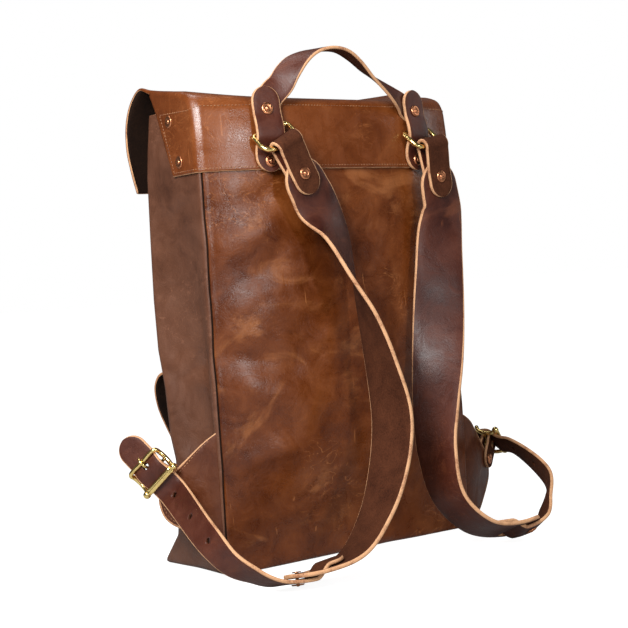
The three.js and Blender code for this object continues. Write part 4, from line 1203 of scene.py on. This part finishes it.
# The ends under the chapes: x, z and the direction across. The run over the top: x, y, z and the same.
HANDLE_ENDS = {
    1: [(93, 412.5, -0.88, 0.15, -0.47), (87, 425, -0.88, 0.15, -0.47), (80, 438, -0.85, 0.3, -0.42)],
    -1: [(-78, 430.5, 0.5, 0.2, -0.84), (-87, 425, 0.55, 0.1, -0.83), (-95, 420, 0.55, 0.1, -0.83)],
}
HANDLE_RUN = [
    (70.5, 80, 447.5, -0.72, 0.6, -0.35), (63.5, 83, 458.6, -0.55, 0.78, -0.3),
    (54, 87, 469.3, -0.35, 0.92, -0.2), (40.6, 90, 477, -0.12, 0.99, -0.1), (23, 92, 480.5, 0, 1, -0.05),
    (5.5, 92, 479, 0.03, 0.99, -0.15), (-11, 90, 471, 0.1, 0.97, -0.25), (-29, 87, 458.5, 0.18, 0.9, -0.4),
    (-50, 84.5, 446.5, 0.3, 0.75, -0.6), (-67, 81, 437, 0.42, 0.5, -0.75),
]


def handle(name):
    """One strip from under one chape, twisting up and over, to under the other."""
    def end_stations(side):
        offset = LAYER_1 + TAB_T / 2
        return [
            (vec(x, back_face(x, z) + offset, z), unit((a, b, c)))
            for x, z, a, b, c in HANDLE_ENDS[side]
        ]

    run = [(vec(x, y, z), unit((a, b, c))) for x, y, z, a, b, c in HANDLE_RUN]
    track = Track(end_stations(1) + run + end_stations(-1), 1400)
    strip = ribbon(name, track, lambda s: CHAPE_W, TAB_T - 0.4, step=2.0, crown=0.2)
    for side in (1, -1):
        strip = rivet_hole(strip, *upper_rivet_axis(side), 30)
    return strip


# ---- Materials --------------------------------------------------------------------------------


class Nodes:
    """A short way to write a node tree."""

    def __init__(self, name):
        self.material = bpy.data.materials.new(name)
        self.material.use_nodes = True
        self.tree = self.material.node_tree
        self.tree.nodes.clear()
        self.out = self.add("ShaderNodeOutputMaterial")
        self.bsdf = self.add("ShaderNodeBsdfPrincipled")
        self.link(self.bsdf.outputs[0], self.out.inputs["Surface"])
        self.place = self.add("ShaderNodeTexCoord").outputs["Object"]

    def add(self, kind, **settings):
        node = self.tree.nodes.new(kind)
        for key, value in settings.items():
            setattr(node, key, value)
        return node

    def link(self, a, b):
        self.tree.links.new(a, b)

    def put(self, socket, value):
        if hasattr(value, "is_output"):
            self.link(value, socket)
        elif socket.type == "RGBA" and len(value) == 3:
            socket.default_value = (*value, 1)
        else:
            socket.default_value = value

    def noise(self, scale, detail=4, rough=0.55, distort=0.0, stretch=None, turn=(0, 0, 0)):
        place = self.place
        if stretch:
            m = self.add("ShaderNodeMapping")
            m.inputs["Scale"].default_value = stretch
            m.inputs["Rotation"].default_value = turn
            self.link(place, m.inputs["Vector"])
            place = m.outputs[0]
        n = self.add("ShaderNodeTexNoise")
        self.link(place, n.inputs["Vector"])
        settings = {"Scale": scale, "Detail": detail, "Roughness": rough, "Distortion": distort}
        for key, value in settings.items():
            n.inputs[key].default_value = value
        return n.outputs[0]

    def cells(self, scale, feature="F1"):
        n = self.add("ShaderNodeTexVoronoi", feature=feature)
        self.link(self.place, n.inputs["Vector"])
        n.inputs["Scale"].default_value = scale
        return n.outputs["Distance"]

    def span(self, value, low, high, to_low=0.0, to_high=1.0):
        n = self.add("ShaderNodeMapRange")
        n.interpolation_type = "SMOOTHSTEP"
        self.put(n.inputs["Value"], value)
        for i, number in enumerate((low, high, to_low, to_high)):
            n.inputs[i + 1].default_value = number
        return n.outputs[0]

    def math(self, operation, a, b=0.0):
        n = self.add("ShaderNodeMath", operation=operation)
        self.put(n.inputs[0], a)
        self.put(n.inputs[1], b)
        return n.outputs[0]

    def mix(self, share, a, b, kind="MIX"):
        n = self.add("ShaderNodeMix", data_type="RGBA", blend_type=kind)
        self.put(n.inputs[0], share)
        self.put(n.inputs[6], a)
        self.put(n.inputs[7], b)
        return n.outputs[2]

    def ramp(self, value, *stops):
        n = self.add("ShaderNodeValToRGB")
        self.link(value, n.inputs[0])
        elements = n.color_ramp.elements
        while len(elements) < len(stops):
            elements.new(0.5)
        for e, (at, colour) in zip(elements, stops):
            e.position = at
            e.color = (*colour, 1)
        return n.outputs[0]

    def bump(self, height, distance, strength=1.0, before=None):
        n = self.add("ShaderNodeBump")
        self.put(n.inputs["Height"], height)
        n.inputs["Distance"].default_value = distance
        n.inputs["Strength"].default_value = strength
        if before is not None:
            self.link(before, n.inputs["Normal"])
        return n.outputs[0]

    def finish(self, **inputs):
        for key, value in inputs.items():
            self.put(self.bsdf.inputs[key.replace("_", " ")], value)
        return self.material


def pull_up_leather(name, dark, mid, light, streak, rough=(0.3, 0.52), glow=0.75, seed=0.0, wax=0.16):
    """Waxed leather: cloudy colour, lighter pulled streaks and creases, scratches, fine pores."""
    n = Nodes(name)
    shift = n.add("ShaderNodeMapping")
    shift.inputs["Location"].default_value = (seed, seed * 0.7, -seed)
    n.link(n.place, shift.inputs["Vector"])
    n.place = shift.outputs[0]
    clouds = n.noise(9, 5, 0.6, 0.6)
    small = n.noise(46, 6, 0.65, 0.8)
    tone = n.math("ADD", n.math("MULTIPLY", clouds, 0.65), n.math("MULTIPLY", small, 0.35))
    colour = n.ramp(tone, (0.36, dark), (0.5, mid), (0.66, light))
    pulled = n.noise(13, 5, 0.6, 1.1, stretch=(1, 1, 1.7), turn=(0.3, 0.85, 0.2))
    pulled = n.span(pulled, 0.56, 0.74)
    colour = n.mix(n.math("MULTIPLY", pulled, glow), colour, streak)
    crease = n.noise(24, 3, 0.5, 2.2, stretch=(1, 1, 2.0), turn=(0.4, -0.5, 0.1))
    crease = n.span(n.math("ABSOLUTE", n.math("SUBTRACT", crease, 0.5)), 0.0, 0.012, 1, 0)
    region = n.span(n.noise(8, 2, 0.5), 0.50, 0.62)
    crease = n.math("MULTIPLY", crease, region)
    colour = n.mix(n.math("MULTIPLY", crease, 0.55), colour, streak)
    scratch = n.noise(30, 2, 0.4, 0.3, stretch=(9, 9, 0.9), turn=(0.5, 0.9, 0.4))
    scratch = n.span(scratch, 0.735, 0.78)
    colour = n.mix(n.math("MULTIPLY", scratch, 0.5), colour, streak)
    pores = n.noise(1500, 3, 0.6)
    colour = n.mix(n.span(pores, 0.3, 0.75, 0.16, 0.0), colour, dark)
    grain = n.cells(620, "SMOOTH_F1")
    bump = n.bump(grain, 0.0003, 0.3)
    bump = n.bump(pores, 0.00022, 0.35, bump)
    bump = n.bump(small, 0.003, 0.22, bump)
    bump = n.bump(crease, 0.0006, -0.5, bump)
    roughness = n.span(small, 0.35, 0.68, rough[0], rough[1])
    coat = n.span(clouds, 0.4, 0.62, 0.03, wax)
    return n.finish(Base_Color=colour, Roughness=roughness, Normal=bump, Coat_Weight=coat,
                    Coat_Roughness=0.30, Specular_IOR_Level=0.36)


def cut_edge(name, pale, deep):
    n = Nodes(name)
    fibres = n.noise(800, 3, 0.6)
    blotch = n.noise(70, 4, 0.6)
    tone = n.math("ADD", n.math("MULTIPLY", fibres, 0.4), n.math("MULTIPLY", blotch, 0.6))
    colour = n.ramp(tone, (0.34, deep), (0.5, pale), (0.7, tuple(min(1, c * 1.12) for c in pale)))
    return n.finish(Base_Color=colour, Roughness=0.75, Normal=n.bump(fibres, 0.0004, 0.5))


def flesh_side(name, dark, light):
    """The rough back of the hide: short fibres, matt and grainy."""
    n = Nodes(name)
    nap = n.noise(650, 5, 0.75, 0.5)
    blotch = n.noise(35, 5, 0.65, 0.5)
    tone = n.math("ADD", n.math("MULTIPLY", nap, 0.55), n.math("MULTIPLY", blotch, 0.45))
    colour = n.ramp(tone, (0.36, dark), (0.64, light))
    return n.finish(Base_Color=colour, Roughness=0.88, Normal=n.bump(nap, 0.0007, 0.75),
                    Specular_IOR_Level=0.15)


def metal(name, bright, dull, rough, wear=0.5):
    n = Nodes(name)
    stain = n.noise(120, 5, 0.6, 0.4)
    fine = n.noise(900, 3, 0.6)
    colour = n.mix(n.span(stain, 0.45, 0.75, 0, wear), bright, dull)
    roughness = n.span(fine, 0.3, 0.7, rough[0], rough[1])
    return n.finish(Base_Color=colour, Metallic=1.0, Roughness=roughness,
                    Normal=n.bump(fine, 0.0001, 0.25))


def thread(name, pale, dark):
    n = Nodes(name)
    twist = n.noise(1400, 2, 0.5, stretch=(1, 1, 0.3))
    wax = n.noise(60, 3, 0.6)
    colour = n.mix(n.span(n.math("ADD", twist, wax), 0.8, 1.2), dark, pale)
    return n.finish(Base_Color=colour, Roughness=0.65, Normal=n.bump(twist, 0.0002, 0.6))


BODY = pull_up_leather("body_leather", (0.055, 0.010, 0.0012), (0.122, 0.028, 0.004), (0.21, 0.057, 0.011),
                       (0.42, 0.155, 0.05), rough=(0.26, 0.40), glow=0.40)
HIDE = pull_up_leather("yoke_leather", (0.085, 0.018, 0.003), (0.150, 0.037, 0.007), (0.22, 0.062, 0.015),
                       (0.38, 0.13, 0.04), rough=(0.22, 0.36), glow=0.3, seed=0.31, wax=0.3)
WING = pull_up_leather("wing_leather", (0.040, 0.008, 0.002), (0.085, 0.020, 0.005), (0.13, 0.036, 0.010),
                       (0.20, 0.065, 0.022), rough=(0.34, 0.5), glow=0.3, seed=2.3, wax=0.06)
GUSSET = pull_up_leather("gusset_leather", (0.058, 0.020, 0.010), (0.108, 0.040, 0.020),
                         (0.155, 0.062, 0.033), (0.24, 0.10, 0.055),
                         rough=(0.36, 0.55), glow=0.3, seed=0.7, wax=0.08)
STRAPPING = pull_up_leather("strap_leather", (0.026, 0.004, 0.002), (0.066, 0.014, 0.006),
                            (0.108, 0.027, 0.012), (0.20, 0.058, 0.022),
                            rough=(0.40, 0.56), glow=0.4, seed=1.3, wax=0.05)
LOOP = pull_up_leather("worn_strap_leather", (0.10, 0.024, 0.008), (0.20, 0.050, 0.016),
                       (0.30, 0.085, 0.028), (0.5, 0.18, 0.07), rough=(0.30, 0.45), seed=1.9)
EDGE_PALE = cut_edge("cut_edge", (0.56, 0.30, 0.15), (0.27, 0.10, 0.042))
EDGE_BODY = cut_edge("body_cut_edge", (0.40, 0.19, 0.09), (0.18, 0.06, 0.024))
FLESH_STRAP = flesh_side("strap_flesh_side", (0.030, 0.007, 0.002), (0.098, 0.030, 0.012))
# The body's flesh side, near-black; the same material is also the painted shade in the grooves of the turned
# seams.
FLESH_BODY_AND_SEAM_SHADE = flesh_side("body_flesh_side_and_seam_shade", (0.005, 0.0018, 0.0008), (0.020, 0.008, 0.0035))
LINING = flesh_side("lining", (0.02, 0.012, 0.008), (0.07, 0.04, 0.024))
BRASS = metal("solid_brass", (0.93, 0.70, 0.27), (0.62, 0.40, 0.12), (0.12, 0.26))
COPPER = metal("copper_rivet", (0.70, 0.29, 0.14), (0.34, 0.10, 0.05), (0.24, 0.42), 0.8)
THREAD = thread("waxed_thread", (0.36, 0.17, 0.075), (0.14, 0.045, 0.02))


def dress(obj, *materials):
    old = [p.material_index for p in obj.data.polygons]
    obj.data.materials.clear()
    for m in materials:
        obj.data.materials.append(m)
    obj.data.polygons.foreach_set("material_index", [min(i, len(materials) - 1) for i in old])
    obj.data.update()
    return obj


def fit(obj, body, slot, nodes=(), materials=()):
    """Gives a piece its materials, its body and the CAD nodes that it stands for; slot is not used."""
    dress(obj, *materials)
    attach(obj, body)
    if nodes:
        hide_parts(*nodes)
    return obj


def fit_across(obj, nodes, materials):
    """Like fit, for a piece that spans two bodies: its place is baked into its mesh and it is attached to no
    body.
    """
    dress(obj, *materials)
    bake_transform(obj)
    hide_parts(*nodes)


STRAP_SET = (STRAPPING, EDGE_PALE, FLESH_STRAP)
BODY_SET = (BODY, EDGE_BODY, FLESH_BODY_AND_SEAM_SHADE)
HIDE_SET = (HIDE, EDGE_PALE, FLESH_BODY_AND_SEAM_SHADE)


# ---- Assembly ---------------------------------------------------------------------------------


def build_body():
    panels = ("back_panel", "front_panel", "bottom_panel", "gusset_right", "gusset_left")
    fit(body_shell(), "bag", "body_leather", panels, BODY_SET + (GUSSET,))
    fit(inner_pocket(), "bag", "lining", ("inner_pocket",), (LINING, EDGE_BODY, LINING))
    fit(front_pocket(), "bag", "body_leather", ("front_pocket",), BODY_SET)
    fit_across(pocket_flap(),
               ("pocket_flap",), BODY_SET)
    studs = (("closure_button", front_centre(STUD_Z), STUD_Z, 5.9, "closure_stud"),
             ("pocket_button", POCKET_Y, POCKET_STUD_Z, 6.4, "pocket_stud"))
    for name, y, z, neck, node in studs:
        fit(stud(name, vec(0, y, z), FRONTWARD, neck), "bag", "solid_brass", (node,), (BRASS,))


def build_hide():
    fit_across(hide(),
               ("yoke", "flap"), HIDE_SET)


def hide_line(points):
    """Points on the hide and the direction off it, from pairs of u and w."""
    step = 0.004
    spots, lift = [], []
    for u, w in points:
        a = hide_point(min(1, u + step), w) - hide_point(max(0, u - step), w)
        b = hide_point(u, min(1, w + step)) - hide_point(u, max(0, w - step))
        spots.append(hide_point(u, w))
        lift.append(-unit(np.cross(a, b)))
    return spots, lift


def build_stitching():
    bottom = 0.011
    upper = 3.93 / (len(HIDE_ROWS) - 1)
    lines = {
        "yoke_lower_stitching": [(u, bottom) for u in np.linspace(0.012, 0.988, 260)],
        "yoke_upper_stitching": [(u, upper) for u in np.linspace(0.015, 0.985, 260)],
        "tab_stitching_left": [(0.017, w) for w in np.linspace(bottom, upper, 40)],
        "tab_stitching_right": [(0.983, w) for w in np.linspace(bottom, upper, 40)],
    }
    for name, pairs in lines.items():
        spots, lift = hide_line(pairs)
        fit(stitches(name, spots, lift, 3.3, 0.45), "bag", "body_leather", (), (THREAD,))


def build_closure():
    fit(closure_strap(), "flap", "strap_leather", ("closure_strap",), STRAP_SET)
    for i, x in enumerate(CLOSURE_RIVET_X):
        at = vec(x, -64.8, CLOSURE_RIVET_Z)
        obj = rivet(f"closure_washer_{i + 1}", at, FLAP_LEAN, CLOSURE_THICK + 3.3)
        fit(obj, "flap", "copper_rivet", (f"closure_rivet_{i + 1}",), (COPPER,))


def build_handle():
    fit_across(handle("carry_handle"),
               ("handle", "handle_end_right", "handle_end_left"), STRAP_SET)


TAB_RIVETS = [(13, 421), (27, 382)]


def build_side(side, name):
    """The ring, straps, wing, buckle and rivets of one side."""
    base = strap_track(side)
    strap = f"strap_{name}"

    def place(obj, body, slot, node, materials):
        return fit(obj, body, slot, (f"{node}_{name}",), materials)

    place(upper_chape(side, f"ring_chape_{name}"), "bag", "strap_leather", "upper_chape", STRAP_SET)
    place(d_ring(side, f"dee_{name}"), f"ring_{name}", "solid_brass", "d_ring", (BRASS,))
    fold = place(fold_chape(side, f"strap_chape_{name}"), strap, "strap_leather", "fold_chape", STRAP_SET)
    wear_top(fold, hang_point(side))
    wide = shoulder_strap(side, base, f"wide_strap_{name}")
    place(wide, strap, "strap_leather", "shoulder_strap", STRAP_SET)
    holed = adjusting_strap(side, base, f"holed_strap_{name}")
    place(holed, strap, "strap_leather", "adjusting_strap", STRAP_SET)
    plate, rows = wing(side, f"side_wing_{name}")
    place(plate, "bag", "body_leather", "wing", (WING, EDGE_PALE))
    fit(rows, "bag", "body_leather", (), (THREAD,))
    place(buckle_chape(side, f"buckle_tab_{name}"), "bag", "strap_leather", "buckle_chape", STRAP_SET)
    place(buckle(side, f"brass_buckle_{name}"), strap, "solid_brass", "buckle", (BRASS,))
    place(prong(side, f"brass_prong_{name}"), f"prong_{name}", "solid_brass", "prong", (BRASS,))
    build_rivets(side, name, base)


def build_rivets(side, name, base):
    strap, out = f"strap_{name}", wing_frame(side)[2]
    half_fold = STRAP_T / 2 + 0.3 + TAB_T
    half_wing = WING_THICK / 2 + 0.3 + BUCKLE_TAB_T
    joint, joint_out = joint_axis(side, base)
    joint_top = JOINT_OFFSET + TAB_T / 2
    at, up_out = upper_rivet_axis(side)
    lower_at = on_yoke(side, LOWER_RIVET_Z, LAYER_1 + TAB_T + 0.1)
    fold_at = hang_point(side) + LEAVE[side] * FOLD_RIVET + fold_out(side) * half_fold
    wing_at = wing_point(side, *WINGS[side]["rivet"]) + out * half_wing
    # Kind, place, direction, grip and body.
    table = [
        ("upper", at, up_out, LAYER_2 + TAB_T + LEATHER + 0.5, "bag"),
        ("lower", lower_at, yoke_out(side), LAYER_1 + TAB_T + LEATHER + 0.4, "bag"),
        ("fold", fold_at, fold_out(side), 2 * half_fold, strap),
        ("joint", joint + joint_out * (joint_top + 0.3), joint_out, joint_top + STRAP_T / 2 + 1.1, strap),
        ("wing", wing_at, out, 2 * half_wing, "bag"),
    ]
    for kind, spot, direction, grip, body in table:
        obj = rivet(f"{kind}_washer_{name}", spot, direction, grip)
        fit(obj, body, "copper_rivet", (f"{kind}_rivet_{name}",), (COPPER,))
    tab_grip = YOKE_LEATHER + 0.3 + LEATHER
    for i, (y, z) in enumerate(TAB_RIVETS):
        obj = rivet(f"tab_washer_{name}_{i + 1}", vec(side * YOKE_HALF, y, z), (side, 0, 0), tab_grip)
        fit(obj, "bag", "copper_rivet", (f"yoke_rivet_{name}_{i + 1}",), (COPPER,))


WORN_RADIUS, WORN_SLOT = 11.5, 3


def wear_top(obj, centre):
    """The top of a fold chape, where it turns over the ring, is worn to a lighter orange."""
    obj.data.materials.append(LOOP)
    for p in obj.data.polygons:
        away = np.array(p.center) / MM - centre
        if p.material_index == GRAIN and np.linalg.norm(away) < WORN_RADIUS and away[2] > 1.0:
            p.material_index = WORN_SLOT


build_body()
build_hide()
build_stitching()
build_closure()
build_handle()
build_side(1, "right")
build_side(-1, "left")


# ---- Floor, light and camera ------------------------------------------------------------------


FLOOR_GLOW = 0.90                                # how bright the camera sees the floor, on top of the light


def stage_floor():
    mesh = bpy.data.meshes.new("floor")
    r = 30.0
    z = CAD_BOX[0][2] - 0.0005
    mesh.from_pydata([(-r, -r, z), (r, -r, z), (r, r, z), (-r, r, z)], [], [(0, 1, 2, 3)])
    floor = bpy.data.objects.new("floor", mesh)
    bpy.context.scene.collection.objects.link(floor)
    n = Nodes("pale_floor")
    seen = n.add("ShaderNodeLightPath").outputs["Is Camera Ray"]
    haze = n.noise(1.2, 2)
    colour = n.mix(haze, (0.42, 0.42, 0.42), (0.46, 0.46, 0.46))
    glow = n.math("MULTIPLY", seen, FLOOR_GLOW)
    floor.data.materials.append(n.finish(Base_Color=colour, Roughness=0.9, Emission_Color=(1, 1, 1),
                                         Emission_Strength=glow, Specular_IOR_Level=0.0))


def area(name, place, target, size, power):
    light = bpy.data.lights.new(name, "AREA")
    light.shape = "RECTANGLE"
    light.size, light.size_y = size
    light.energy = power
    obj = bpy.data.objects.new(name, light)
    obj.location = place
    obj.rotation_mode = "QUATERNION"
    obj.rotation_quaternion = (Vector(target) - Vector(place)).to_track_quat("-Z", "Y")
    bpy.context.scene.collection.objects.link(obj)


DIFFUSE_SKY, GLOSSY_SKY, SEEN_SKY = 0.30, 0.09, 1.0
LIT_POINT = (0, 0, 0.25)
# Name, place, size and power of each soft light.
LIGHTS = [
    ("key", (0.95, 0.62, 0.85), (0.4, 0.5), 20),
    ("gloss", (0.10, 1.55, 0.60), (0.10, 0.35), 6),
    ("rim", (-1.5, 0.6, 0.9), (0.4, 0.9), 3),
    ("top", (0.2, -0.2, 1.8), (0.9, 0.6), 8),
]


def studio():
    """A white surround for the camera, a dimmer one for diffuse light and a dark one for reflections."""
    world = bpy.data.worlds.new("studio")
    world.use_nodes = True
    tree = world.node_tree
    path = tree.nodes.new("ShaderNodeLightPath")
    strength = GLOSSY_SKY
    for ray, value in (("Is Diffuse Ray", DIFFUSE_SKY), ("Is Camera Ray", SEEN_SKY)):
        pick = tree.nodes.new("ShaderNodeMix")
        tree.links.new(path.outputs[ray], pick.inputs["Factor"])
        if isinstance(strength, float):
            pick.inputs["A"].default_value = strength
        else:
            tree.links.new(strength, pick.inputs["A"])
        pick.inputs["B"].default_value = value
        strength = pick.outputs["Result"]
    tree.nodes["Background"].inputs[0].default_value = (1, 1, 1, 1)
    tree.links.new(strength, tree.nodes["Background"].inputs[1])
    bpy.context.scene.world = world
    bpy.context.scene.view_settings.view_transform = "Standard"
    for name, place, size, power in LIGHTS:
        area(name, place, LIT_POINT, size, power)


def camera():
    """The viewing angle: seen from behind and the wearer's right, a little above the middle."""
    azimuth, elevation, roll = math.radians(143.90), math.radians(1.30), math.radians(-3.96)
    place = Vector((0.845, 1.170, 0.264))
    back = Vector((math.sin(azimuth) * math.cos(elevation), -math.cos(azimuth) * math.cos(elevation),
                   math.sin(elevation)))
    level = (-back).cross(Vector((0, 0, 1))).normalized()
    upright = level.cross(-back)
    right = level * math.cos(roll) + upright * math.sin(roll)
    up = upright * math.cos(roll) - level * math.sin(roll)
    data = bpy.data.cameras.new("camera")
    data.lens, data.sensor_width = 82.57, 36.0
    cam = bpy.data.objects.new("camera", data)
    turn = Matrix((right, up, back)).transposed()
    cam.matrix_world = Matrix.Translation(place) @ turn.to_4x4()
    bpy.context.scene.collection.objects.link(cam)
    bpy.context.scene.camera = cam


stage_floor()
studio()
camera()
